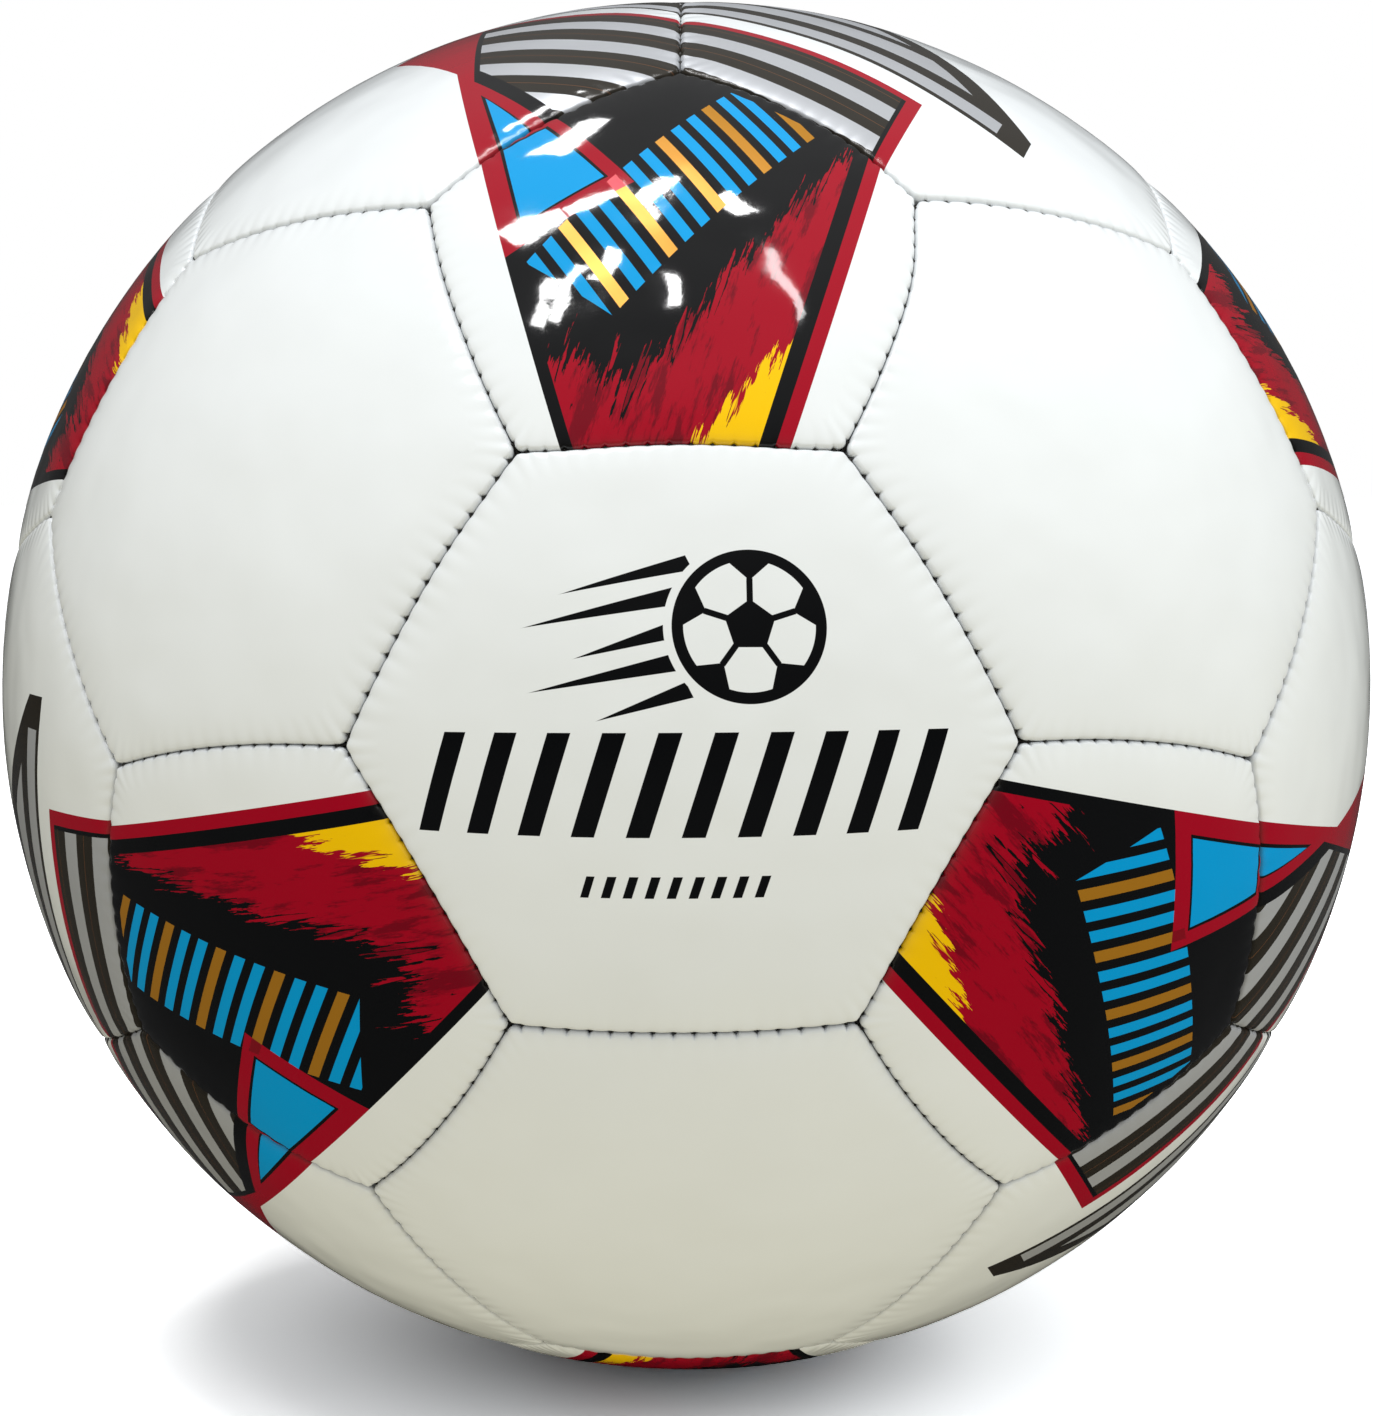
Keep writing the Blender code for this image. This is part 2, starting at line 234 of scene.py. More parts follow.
pentagonToHexagon = np.arccos(np.sqrt((5 + 2 * np.sqrt(5)) / 15))  # angle between neighbours' middles
hexagonToHexagon = np.arccos(np.sqrt(5) / 3)


def ballLayout():
    # pentagon centres are an icosahedron's corners, hexagon centres its faces; a face looks along -Y.
    # each panel gets its print's right, up and outward directions
    nearRing = pentagonToHexagon
    farRing = np.arccos(np.sqrt((5 - 2 * np.sqrt(5)) / 15))
    polar = np.repeat([nearRing, farRing], 3)
    turn = np.radians([90, 210, 330, 30, 150, 270])
    front = np.stack([np.sin(polar) * np.cos(turn), -np.cos(polar), np.sin(polar) * np.sin(turn)], 1)
    pentagons = np.concatenate([front, -front])
    near = pentagons @ pentagons.T > 0.4
    trios = [trio for trio in combinations(range(12), 3) if all(near[a, b] for a, b in combinations(trio, 2))]
    hexagons = unit(pentagons[np.array(trios)].sum(1))
    heads = pentagons[np.abs(pentagons[:, 1]) > 0.5]  # the pentagons next to the front and back hexagons
    panels = []
    for centre in pentagons:
        up = awayFrom(centre, np.array([0, np.sign(centre[1]), 0]))
        panels.append({"sides": 5, "role": "printed", "axes": axesOf(centre, up)})
    for centre in hexagons:
        side = np.sign(centre[1])
        if abs(centre[1]) > 0.9:
            role, up = ("crest" if side < 0 else "valve"), np.array([0, 0, -side])
        elif abs(centre[1]) > 0.6:
            role, up = "plain", awayFrom(centre, np.array([0, side, 0]))
        else:
            head = heads[np.argmax(heads @ centre)]
            up = awayFrom(centre, head)
            right = np.cross(awayFrom(head, np.array([0, side, 0])), head)
            role = "rightShoulder" if centre @ right > 0 else "leftShoulder"
        panels.append({"sides": 6, "role": role, "axes": axesOf(centre, up)})
    return panels


def awayFrom(centre, other):
    # the direction along the ball at centre that leads away from other
    return unit(centre * (other @ centre) - other)


def axesOf(centre, up):
    # right, up and outward directions as rows
    return np.stack([np.cross(up, centre), up, centre])


def nameOfPanel(panel, boxCentres):
    # the CAD node whose box lies in this panel's direction
    names = list(boxCentres)
    directions = unit(np.array([boxCentres[name] for name in names]))
    return names[int(np.argmax(directions @ panel["axes"][2]))]


def centreOfBox(name):
    # half way between a node's lowest and highest corners
    low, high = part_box(name)
    return np.array((low + high) / 2)


boxCentres = {name: centreOfBox(name) for name in frame["nodes"] if "panel" in name}
layout = ballLayout()
for panel in layout:
    panel["node"] = nameOfPanel(panel, boxCentres)
print("layout:", len({panel["node"] for panel in layout}), "panels")


# panels: printed skin over foam, rolled into the seams

stitchPull = {
    "bow": 0.95 * mm,        # pentagon sides bow outwards
    "bowAt": 28.0 * mm,
    "bowReach": 6.0 * mm,
    "draw": 1.2 * mm,        # and their corners are drawn in
    "drawAt": 40.0 * mm,
    "drawReach": 5.0 * mm,
    "topSag": 1.7 * mm,      # the front panel's two upper corners hang low
    "topSlip": 2.4 * mm,     # the top print's right upper corner leans in
    "bottomDrop": 4.4 * mm,  # the seam under the ball's front lies low
    "cornerReach": 13.0 * mm,
    "sideReach": 26.0 * mm,
}


def settle(directions):
    # with r the arc to the nearest pentagon centre, moves a point outwards from that centre by
    # bow exp(-((r - bowAt) / bowReach)^2) - draw exp(-((r - drawAt) / drawReach)^2),
    # then adds each listed slip, weighted by exp(-(distance / reach)^2)
    pull = stitchPull
    printed = [panel["axes"] for panel in layout if panel["role"] == "printed"]
    centres = np.array([axes[2] for axes in printed])
    nearest = centres[np.argmax(directions @ centres.T, axis=-1)]
    cosine = (directions * nearest).sum(-1, keepdims=True)
    arc = ballRadius * np.arccos(np.clip(cosine, -1, 1))
    outwards = directions - nearest * cosine
    outwards = outwards / np.maximum(np.linalg.norm(outwards, axis=-1, keepdims=True), 1e-9)
    moved = outwards * pull["bow"] * np.exp(-((arc - pull["bowAt"]) / pull["bowReach"]) ** 2)
    moved = moved - outwards * pull["draw"] * np.exp(-((arc - pull["drawAt"]) / pull["drawReach"]) ** 2)
    frontMiddle = [axes for axes in printed if abs(axes[2][0]) < 0.01 and axes[2][1] < 0]
    bottom, top = sorted(frontMiddle, key=lambda axes: axes[2][2])
    toSide = np.tan(apothemAngle(5))
    toCorner = toSide / np.cos(np.pi / 5)
    topSag, topSlip, bottomDrop = pull["topSag"], pull["topSlip"], pull["bottomDrop"]
    slips = [(top, 144, toCorner, 0, -topSag, pull["cornerReach"]),
             (top, -144, toCorner, 0, -topSag, pull["cornerReach"]),
             (top, 72, toCorner, -topSlip, 0, pull["cornerReach"]),
             (bottom, 180, toSide, 0, bottomDrop, pull["sideReach"])]
    for (right, up, out), angle, far, rightwards, upwards, reach in slips:
        place = unit(out + far * (right * np.sin(np.radians(angle)) + up * np.cos(np.radians(angle))))
        apart = ballRadius * np.linalg.norm(directions - place, axis=-1, keepdims=True)
        moved = moved + (right * rightwards + up * upwards) * np.exp(-(apart / reach) ** 2)
    return unit(directions + moved / ballRadius)


panelShape = {
    "stitchesPerSide": 16,
    "rollRadius": 0.75 * mm,     # the edge's quarter round
    "kiss": 0.02 * mm,           # where two rolled edges nearly touch
    "wallInset": 0.45 * mm,      # room for the thread under the roll
    "thickness": 3.2 * mm,
    "hemBottom": 4.55 * mm,
    "hemInset": 1.55 * mm,
    "seamDip": 0.50 * mm,        # the ball's skin sinks towards the seams
    "seamDipReach": 3.4 * mm,
    "notchWidth": 0.42 * mm,     # half the width of the nick that a stitch pulls
    "pucker": 0.045 * mm,
    "wobble": 0.10 * mm,
    "cornerPull": 0.35 * mm,
    "valveHole": 4.45 * mm,
    "holeLip": 0.55 * mm,        # the hole's edge starts to round this far out
    "dimple": 0.09 * mm,         # each stitch also pulls the face down
    "dimpleWidth": 0.7 * mm,
    "dimpleReach": 1.3 * mm,
}


farFromSeam = 40 * mm  # the seam distance given to a panel's middle


def apothemAngle(sides):
    # angle at the ball's centre from a panel's middle to the middle of its side
    hexagonApothem = hexagonToHexagon / 2
    return hexagonApothem if sides == 6 else pentagonToHexagon - hexagonApothem


def halfSide(sides, apothem, inset=0.0):
    # half of a side's arc, on the line that lies inset inside the seam
    spread = np.tan(np.pi / sides)
    size = np.sqrt(1 + (spread * np.sin(apothem)) ** 2)
    whole = np.arctan(spread * np.sin(apothem))
    return ballRadius * (whole - np.arcsin(spread * np.cos(apothem) * np.tan(inset / ballRadius) / size))


def sideColumns(sides, apothem):
    # arc places along one side, bunched round each stitch: offsets repeat once per stitch
    half = halfSide(sides, apothem)
    pitch = 2 * half / panelShape["stitchesPerSide"]
    centres = (np.arange(panelShape["stitchesPerSide"]) + 0.5) * pitch - half
    offsets = np.array([-pitch / 2, -0.90 * mm, -0.55 * mm, -0.28 * mm, 0, 0.28 * mm, 0.55 * mm, 0.90 * mm])
    return (centres[:, None] + offsets).ravel(), pitch


def panelRows(sides, apothem, hole):
    # the section from the middle of the face, round the edge, to the middle of the inner face.
    # columns: inset, depth, share of a stitch's pull, share of the seam's dip, column step, circle share
    shape = panelShape
    middle = ballRadius * apothem - shape["valveHole"] * 1.6
    nearEdge = np.array([1.45, 1.8, 2.3, 2.9, 3.7, 4.7, 6.0, 7.6, 9.6, 12.0]) * mm
    face = np.concatenate([nearEdge, np.linspace(16 * mm, middle, 5 if sides == 5 else 7)])[::-1]
    step = np.where(face < 5 * mm, 1, np.where(face < 13 * mm, 4, 8))
    circleShare = smoothStep(middle - 9 * mm, middle, face)
    rows = [(hole + shape["holeLip"], 0.0, 0, 1, 8, 1)]
    rows += [(inset, 0.0, np.exp(-(inset - shape["rollRadius"]) / (0.5 * mm)) * 0.5, 1, count, share)
             for inset, count, share in zip(face, step, circleShare)]
    angle = np.radians([0, 14, 28, 42, 55, 67, 78, 90])
    roll = shape["rollRadius"]
    rows += [(roll - (roll - shape["kiss"]) * np.sin(a), roll * (1 - np.cos(a)), 0.5 + 0.5 * np.sin(a),
              1, 1, 0) for a in angle]
    rows += [(shape["kiss"] + 0.06 * mm, roll + 0.25 * mm, 0.95, 1, 1, 0),
             (shape["wallInset"] * 0.8, roll + 0.6 * mm, 0.6, 1, 1, 0),
             (shape["wallInset"], roll + 1.0 * mm, 0.2, 0.7, 1, 0),
             (shape["wallInset"], 3.3 * mm, 0, 0.3, 4, 0),
             (shape["wallInset"], shape["hemBottom"], 0, 0, 4, 0),
             (shape["hemInset"], shape["hemBottom"], 0, 0, 4, 0),
             (shape["hemInset"], shape["thickness"] + 0.1 * mm, 0, 0, 4, 0)]
    inner = np.concatenate([[2.6 * mm, 6 * mm, 12 * mm], np.linspace(18 * mm, middle, 4)])
    rows += [(inset, shape["thickness"], 0, 0, 8, share)
             for inset, share in zip(inner, smoothStep(middle - 9 * mm, middle, inner))]
    rows += [(hole + shape["holeLip"], shape["thickness"], 0, 0, 8, 1)]
    return rows


def buildPanel(panel, depthScale):
    # a point is cos(inset) times the seam's arc point plus sin(inset) times the seam plane's inward normal;
    # its height is the ball's radius less the section's depth, the seam's dip, puckers and a slow wobble
    shape, sides = panelShape, panel["sides"]
    apothem = apothemAngle(sides)
    columns, pitch = sideColumns(sides, apothem)
    rows = panelRows(sides, apothem, shape["valveHole"])
    inset, depth, pull, dip, step, circle = (np.array(part)[:, None] for part in zip(*rows))
    half = halfSide(sides, apothem)

    # stitches pull nicks into the edge, and corners are drawn in a little
    place = (columns + half) / pitch % 1 - 0.5
    nick = np.clip(1 - np.abs(place * pitch) / shape["notchWidth"], 0, 1)
    toCorner = half - np.abs(columns)
    nick = nick * smoothStep(0.2 * mm, 1.2 * mm, toCorner)
    sideOf = np.repeat(np.arange(sides), len(columns))
    nickDepth = np.array(depthScale)[sideOf]
    sidePlace = np.tile(columns, sides)
    nickAll = np.tile(nick, sides) * nickDepth
    corner = shape["cornerPull"] * np.exp(-np.tile(toCorner, sides) / (1.1 * mm))
    moved = inset + pull * (nickAll + corner) * (circle == 0)

    # along the side, squeezed at the corners near the seam and evenly further in
    bunch = 1 + 5 * (1 - smoothStep(0, 8 * mm, moved))
    lost = half - halfSide(sides, apothem, np.minimum(moved, ballRadius * apothem * 0.999))
    along = np.sign(sidePlace) * (np.abs(sidePlace) - lost * np.abs(sidePlace / half) ** bunch)
    turn = -np.pi / 2 + 2 * np.pi * sideOf / sides
    out = np.stack([np.cos(turn), np.sin(turn), np.zeros_like(turn)], 1)
    across = np.stack([-np.sin(turn), np.cos(turn), np.zeros_like(turn)], 1)
    up = np.array([0, 0, 1.0])
    middle = np.sin(apothem) * out + np.cos(apothem) * up
    inward = np.sin(apothem) * up - np.cos(apothem) * out
    arc = np.cos(along / ballRadius)[..., None] * middle + np.sin(along / ballRadius)[..., None] * across
    local = (np.cos(moved / ballRadius)[..., None] * arc + np.sin(moved / ballRadius)[..., None] * inward)

    # rows near the middle turn from the panel's outline into a circle
    azimuth = np.arctan2(local[..., 1], local[..., 0])
    polar = np.arccos(np.clip(local[..., 2], -1, 1))
    lipReach = shape["valveHole"] + shape["holeLip"]
    ringPolar = np.where(inset[:, 0] == lipReach, lipReach / ballRadius, polar.mean(1))[:, None]
    polar = polar * (1 - circle) + ringPolar * circle
    local = np.stack([np.sin(polar) * np.cos(azimuth), np.sin(polar) * np.sin(azimuth), np.cos(polar)], -1)

    world = settle(local @ panel["axes"])
    local = world @ panel["axes"].T
    toSeam = np.where(circle < 1, moved, farFromSeam)
    dimple = shape["dimple"] * np.exp(-(place * pitch / shape["dimpleWidth"]) ** 2)
    sink = depth + dip * shape["seamDip"] * np.exp(-toSeam / shape["seamDipReach"])
    sink = sink + dip * np.tile(dimple, sides) * np.exp(-toSeam / shape["dimpleReach"]) * (circle == 0)
    ripple = np.cos(2 * np.pi * np.tile(place, sides)) * np.exp(-toSeam / (2.2 * mm))
    sink = sink + dip * shape["pucker"] * ripple * (circle == 0)
    waveScale = 1.3 / 6.0
    waves = np.array([[97, 31, -54], [-42, 88, 73], [61, -105, 38],
                      [150, 64, 92], [-118, 77, -141], [33, 170, -96]])
    waveShare = np.array([0.30, 0.26, 0.22, 0.10, 0.07, 0.05])
    swing = np.sin(world @ waves.T * waveScale + np.arange(6) * 1.7) @ waveShare
    sink = sink + dip * shape["wobble"] * swing * smoothStep(1 * mm, 9 * mm, toSeam)
    points = world * (ballRadius - sink)[..., None]

    # keep each row's own share of the columns, then join row to row
    strides = step[:, 0].astype(int)
    kept = [points[row, ::stride] for row, stride in enumerate(strides)]
    flat = [local[row, ::stride] for row, stride in enumerate(strides)]
    toSeam = np.broadcast_to(toSeam, points.shape[:2])
    seam = [toSeam[row, ::stride] for row, stride in enumerate(strides)]
    starts = np.concatenate([[0], np.cumsum([len(row) for row in kept])])
    faces = [joinRows(starts[row], len(kept[row]), starts[row + 1], len(kept[row + 1]))
             for row in range(len(kept) - 1)]
    if panel["role"] == "valve":
        kept, flat, seam, faces = cutValveHole(panel, kept, flat, seam, faces, starts)
    else:
        count = len(kept[0])
        ring = np.arange(count)
        after = (ring + 1) % count
        top, bottom = starts[-1], starts[-1] + 1
        faces += [np.stack([np.full(count, top), ring, after], 1),
                  np.stack([starts[-2] + ring, np.full(count, bottom), starts[-2] + after], 1)]
        centre = panel["axes"][2]
        outerPole = np.linalg.norm(kept[0], axis=1).mean()
        kept += [centre[None] * outerPole, centre[None] * (ballRadius - shape["thickness"])]
        flat += [up[None], up[None]]
        seam += [np.array([farFromSeam]), np.array([farFromSeam])]
    return np.concatenate(kept), np.concatenate(flat), np.concatenate(seam), faces


def joinRows(first, firstCount, second, secondCount):
    # faces between two rings; where one has more points, a face takes several of its edges
    if firstCount <= secondCount:
        ratio = secondCount // firstCount
        near = np.arange(firstCount)
        far = (near[:, None] * ratio + np.arange(ratio + 1)) % secondCount
        after = first + (near + 1) % firstCount
        return np.concatenate([(first + near)[:, None], second + far, after[:, None]], 1)
    ratio = firstCount // secondCount
    near = np.arange(secondCount)
    far = (near[:, None] * ratio + np.arange(ratio + 1)) % firstCount
    after = second + (near + 1) % secondCount
    return np.concatenate([after[:, None], (first + far)[:, ::-1], (second + near)[:, None]], 1)


def cutValveHole(panel, kept, flat, seam, faces, starts):
    # rings of the hole's rounded lip and its wall, from the inner face back to the outer one
    shape = panelShape
    count = len(kept[0])
    azimuth = np.arctan2(flat[0][:, 1], flat[0][:, 0])
    lip = [(shape["valveHole"], shape["thickness"]), (shape["valveHole"], 0.75 * mm),
           (shape["valveHole"] + 0.12 * mm, 0.30 * mm), (shape["valveHole"] + 0.35 * mm, 0.06 * mm)]
    ring = starts[-2]
    for reach, depth in lip:
        polar = reach / ballRadius
        local = np.stack([np.sin(polar) * np.cos(azimuth), np.sin(polar) * np.sin(azimuth),
                          np.full(count, np.cos(polar))], 1)
        start = sum(len(row) for row in kept)
        kept.append(local @ panel["axes"] * (ballRadius - depth))
        flat.append(local)
        seam.append(np.full(count, farFromSeam))
        faces.append(joinRows(ring, count, start, count))
        ring = start
    faces.append(joinRows(ring, count, 0, count))
    return kept, flat, seam, faces


stitchBite = {
    "printed": 0.42 * mm,
    "byPentagon": 0.06 * mm,
    "crest": 0.05 * mm,
    "valve": 0.05 * mm,
    "plain": 0.60 * mm,
    "leftShoulder": 0.34 * mm,
    "rightShoulder": 0.26 * mm,
}


def nickDepths(panel):
    # how deep the stitches bite on each side: most on a pentagon's edge, least on its neighbour's
    if panel["sides"] == 5:
        return np.full(5, stitchBite["printed"])
    startsWithPentagon = "Shoulder" in panel["role"]
    meetsPentagon = (np.arange(6) % 2 == 0) == startsWithPentagon
    return np.where(meetsPentagon, stitchBite["byPentagon"], stitchBite[panel["role"]])


# panel prints

inks = {
    "white": tone(234, 238, 240),
    "red": tone(160, 3, 31),
    "darkRed": tone(98, 3, 22),
    "black": tone(9, 10, 12),
    "blue": tone(0, 154, 220),
    "gold": tone(196, 134, 30),
    "yellow": tone(246, 196, 0),
    "silver": tone(200, 203, 208),
    "bronze": tone(40, 36, 29),
    "copper": tone(120, 76, 42),
}


def newPrint(name):
    # a print's group, its own point (right, up, 1) in millimetres, and its output
    tree, start, end = newGroup(name, [("Point", "Vector", (0, 0, 0))],
                                [("Color", "Color"), ("Foil", "Float")])
    point = put(tree, "VectorMath", start.outputs[0], (1, 1, 0), (0, 0, 1),
                operation="MULTIPLY_ADD").outputs[0]
    return tree, point, end


def frayed(tree, field, bristles, reach):
    # dry-brush edge: within reach of it, thick bristles leave bits outside and thin ones cut slivers inside
    cuts = times(tree, less(tree, 0.58, bristles), 25.0)
    bits = times(tree, less(tree, bristles, 0.64), 25.0)
    inner = within(tree, field, either(tree, cuts, less(tree, field, reach)))
    return either(tree, inner, within(tree, bits, num(tree, "ADD", field, reach)))


def pentagonPrint():
    # plain blocks: frayed colour fields, a striped band and a triangle, between two straight borders
    tree, point, end = newPrint("pentagonPrint")

    # the printed patch is a plain taper
    right = lineField(tree, point, (15.4, -33.0), (29.4, 18.2))
    left = lineField(tree, point, (-28.9, 18.2), (-16.7, -32.9))
    patch = within(tree, right, left)

    # brush strokes run up and to the right: w across them, t along them
    lean = np.radians(73)
    w = dot(tree, point, (np.sin(lean), -np.cos(lean), 0))
    t = dot(tree, point, (np.cos(lean), np.sin(lean), 0))
    strokes = put(tree, "CombineXYZ", w, times(tree, t, 0.085), 0.0).outputs[0]
    fine = noise(tree, strokes, 0.62, 2.0, 0.6)
    finer = noise(tree, strokes, 1.9, 3.0, 0.75)
    ragged = num(tree, "ADD", times(tree, less(tree, fine, 0.5), 15.0),
                 times(tree, less(tree, finer, 0.5), 20.0))
    redTop = curve(tree, w, -40, 40, [(-40, -24), (2, -24), (20, 30), (40, 40)])
    redField = less(tree, num(tree, "ADD", redTop, ragged), t)
    yellowTop = curve(tree, w, -40, 40, [(-40, -60), (8, -55), (11, -32), (20, -11), (40, -6)])
    yellowField = less(tree, num(tree, "ADD", yellowTop, times(tree, ragged, 0.95)), t)
    streaks = noise(tree, put(tree, "CombineXYZ", w, times(tree, t, 0.16), 3.0).outputs[0], 0.33, 5.0, 0.72)
    bristles = noise(tree, put(tree, "CombineXYZ", w, times(tree, t, 0.07), 8.0).outputs[0], 0.70, 2.0, 0.55)
    redField = frayed(tree, redField, bristles, 4.5)
    yellowField = frayed(tree, yellowField, bristles, 5.0)

    color = paint(tree, inks["black"], inks["red"], mask(tree, redField, 0.25))
    shade = times(tree, mask(tree, less(tree, streaks, 0.54), 0.07), mask(tree, redField, 0.25))
    color = paint(tree, color, inks["darkRed"], times(tree, shade, 0.75))
    color = paint(tree, color, inks["yellow"], mask(tree, yellowField, 0.35))

    # the borders
    leftBand = less(tree, 1.75, left)
    rightBand = less(tree, 4.35, right)
    redBand = less(tree, 2.1, right)
    color = paint(tree, color, inks["black"], mask(tree, either(tree, leftBand, rightBand)))
    color = paint(tree, color, inks["red"], mask(tree, redBand))

    # stripes, two blue to each gold
    p = dot(tree, point, (0.86, 0.51, 0))
    pitch = 3.243
    shifted = num(tree, "ADD", p, 2.6 + pitch * 30)
    isStripe = less(tree, 0.88, num(tree, "PINGPONG", shifted, pitch / 2))
    third = num(tree, "PINGPONG", shifted, pitch * 1.5)
    isGold = less(tree, pitch / 2, third)
    lowerEnd = lineField(tree, point, (-8.9, -13.7), (19.6, 21.6))
    lowerLeft = lineField(tree, point, (-21.0, -3.6), (-8.9, -13.7))
    upperEnd = lineField(tree, point, (7.6, 31.8), (-20.9, -3.5))
    margins = within(tree, lineField(tree, point, (0, 38.3), (-38.24, 10.6)),
                     lineField(tree, point, (38.24, 9.4), (0, 37.2)))
    striped = within(tree, isStripe, lowerEnd, lowerLeft, upperEnd, margins)
    stripeColor = paint(tree, inks["blue"], inks["gold"], mask(tree, isGold))
    color = paint(tree, color, stripeColor, mask(tree, striped))

    # the red-edged triangle with its blue heart
    triangle = shapeField(tree, point, [(-24.1, -2.2), (-6.2, 9.7), (-24.4, 36.1), (-33.2, 36.3)])
    outline = shapeField(tree, point, [(-22.1, 2.9), (-9.8, 11.1), (-19.3, 25.1), (-26.3, 21.1)])
    heart = shapeField(tree, point, [(-21.75, 3.6), (-10.4, 11.2), (-19.6, 24.5), (-25.7, 20.8)])
    color = paint(tree, color, inks["red"], mask(tree, triangle))
    color = paint(tree, color, inks["black"], mask(tree, outline))
    color = paint(tree, color, inks["blue"], mask(tree, heart))

    color = paint(tree, inks["white"], color, mask(tree, patch))
    foil = times(tree, times(tree, mask(tree, striped), mask(tree, isGold)), mask(tree, patch))
    return closeGroup(tree, end, Color=color, Foil=foil)


def shoulderStripes():
    # silver and bronze stripes by their place across the run, in millimetres from the shared corner
    tree, start, end = newGroup("shoulderStripes", [("Place", "Float", 0.0)],
                                [("Color", "Color"), ("Silver", "Float")])
    place = start.outputs[0]
    wrapped = num(tree, "WRAP", place, 9.3, 0.0)
    silver = num(tree, "MINIMUM", wrapped, less(tree, 4.15, wrapped))
    fromMiddle = num(tree, "ABSOLUTE", less(tree, wrapped, 6.9))
    copper = less(tree, 0.07, fromMiddle)
    color = paint(tree, inks["bronze"], inks["silver"], mask(tree, silver, 0.12))
    color = paint(tree, color, inks["copper"], times(tree, mask(tree, copper, 0.10), 0.6))
    return closeGroup(tree, end, Color=color, Silver=mask(tree, silver, 0.12))


def rightShoulderPrint(stripes):
    # stripes closed by a red corner, then a dark blade
    tree, point, end = newPrint("rightShoulderPrint")
    height = dot(tree, point, (0, 1, 0))
    stripe = useGroup(tree, stripes, Place=num(tree, "ADD", height, 41.3))
    below = less(tree, -22.0, height)
    redBlock = within(tree, lineField(tree, point, (14.1, -42.0), (8.0, -22.0)), below)
    innerEdge = lineField(tree, point, (11.8, -42.0), (6.1, -23.7))
    inside = within(tree, innerEdge, less(tree, -23.7, height))
    insideStripe = less(tree, innerEdge, 0.7)
    blade = within(tree, num(tree, "ADD", height, 17.0), lineField(tree, point, (24.2, -17.0), (22.2, -11.0)),
                   lineField(tree, point, (22.2, -11.0), (-10.0, 8.7)))
    bladeStripe = within(tree, num(tree, "ADD", height, 15.7), less(tree, -11.6, height),
                         lineField(tree, point, (18.2, -15.8), (16.9, -11.6)))
    slantEnd = lineField(tree, point, (9.5, -8.1), (-10.0, 4.0))
    second = within(tree, num(tree, "ADD", height, 8.1), slantEnd, less(tree, -1.6, height))
    third = within(tree, less(tree, height, 1.8), slantEnd, less(tree, 7.4, height))
    silver = within(tree, blade, either(tree, bladeStripe, second, third))
    color = paint(tree, inks["white"], inks["red"], mask(tree, redBlock))
    color = paint(tree, color, inks["black"], mask(tree, inside))
    stripeMask = mask(tree, within(tree, inside, insideStripe))
    color = paint(tree, color, stripe.outputs["Color"], stripeMask)
    color = paint(tree, color, inks["bronze"], mask(tree, blade))
    color = paint(tree, color, inks["silver"], mask(tree, silver))
    foil = either(tree, times(tree, stripe.outputs["Silver"], stripeMask), mask(tree, silver))
    return closeGroup(tree, end, Color=color, Foil=foil)


def leftShoulderPrint(stripes):
    # the tip of the blue triangle, a widening red wedge, and the stripes turned with the ball
    tree, point, end = newPrint("leftShoulderPrint")
    height = dot(tree, point, (0, 1, 0))
    p = dot(tree, point, (0.866, 0.5, 0))
    stripe = useGroup(tree, stripes, Place=less(tree, p, 0.7))
    edgeLow = lineField(tree, point, (-0.3, -14.0), (-13.0, -42.0))
    edgeHigh = lineField(tree, point, (0.6, 12.0), (-0.3, -14.0))
    left = either(tree, edgeLow, edgeHigh)
    top = lineField(tree, point, (40.0, 35.0), (-10.0, 5.0))
    wedge = lineField(tree, point, (16.0, 10.3), (-0.3, -19.6))  # stripes lie to its left going down
    redOuter = less(tree, 20.3, p)
    upright = num(tree, "ADD", dot(tree, point, (1, 0, 0)), 0.5)
    printed = within(tree, left, redOuter, top)
    striped = within(tree, printed, wedge, upright, less(tree, 18.5, p), less(tree, top, 1.2))
    stripeMask = mask(tree, within(tree, less(tree, wedge, 0.9), less(tree, upright, 2.6), striped))
    heart = shapeField(tree, point, [(-9.0, -43.0), (-3.4, -43.0), (-2.6, -27.2)])
    outline = shapeField(tree, point, [(-9.7, -43.0), (-3.0, -43.0), (-2.4, -25.4)])
    color = paint(tree, inks["white"], inks["red"], mask(tree, printed))
    color = paint(tree, color, inks["black"], mask(tree, either(tree, striped, outline)))
    color = paint(tree, color, inks["blue"], mask(tree, heart))
    color = paint(tree, color, stripe.outputs["Color"], stripeMask)
    blade = within(tree, less(tree, p, 25.0), lineField(tree, point, (30.0, 30.0), (22.0, -8.0)),
                   less(tree, 44.0, p))
    bladeStripe = within(tree, blade, less(tree, p, 26.2), less(tree, 30.4, p))
    color = paint(tree, color, inks["bronze"], mask(tree, blade))
    color = paint(tree, color, inks["silver"], mask(tree, bladeStripe))
    foil = either(tree, times(tree, stripe.outputs["Silver"], stripeMask), mask(tree, bladeStripe))
    return closeGroup(tree, end, Color=color, Foil=foil)


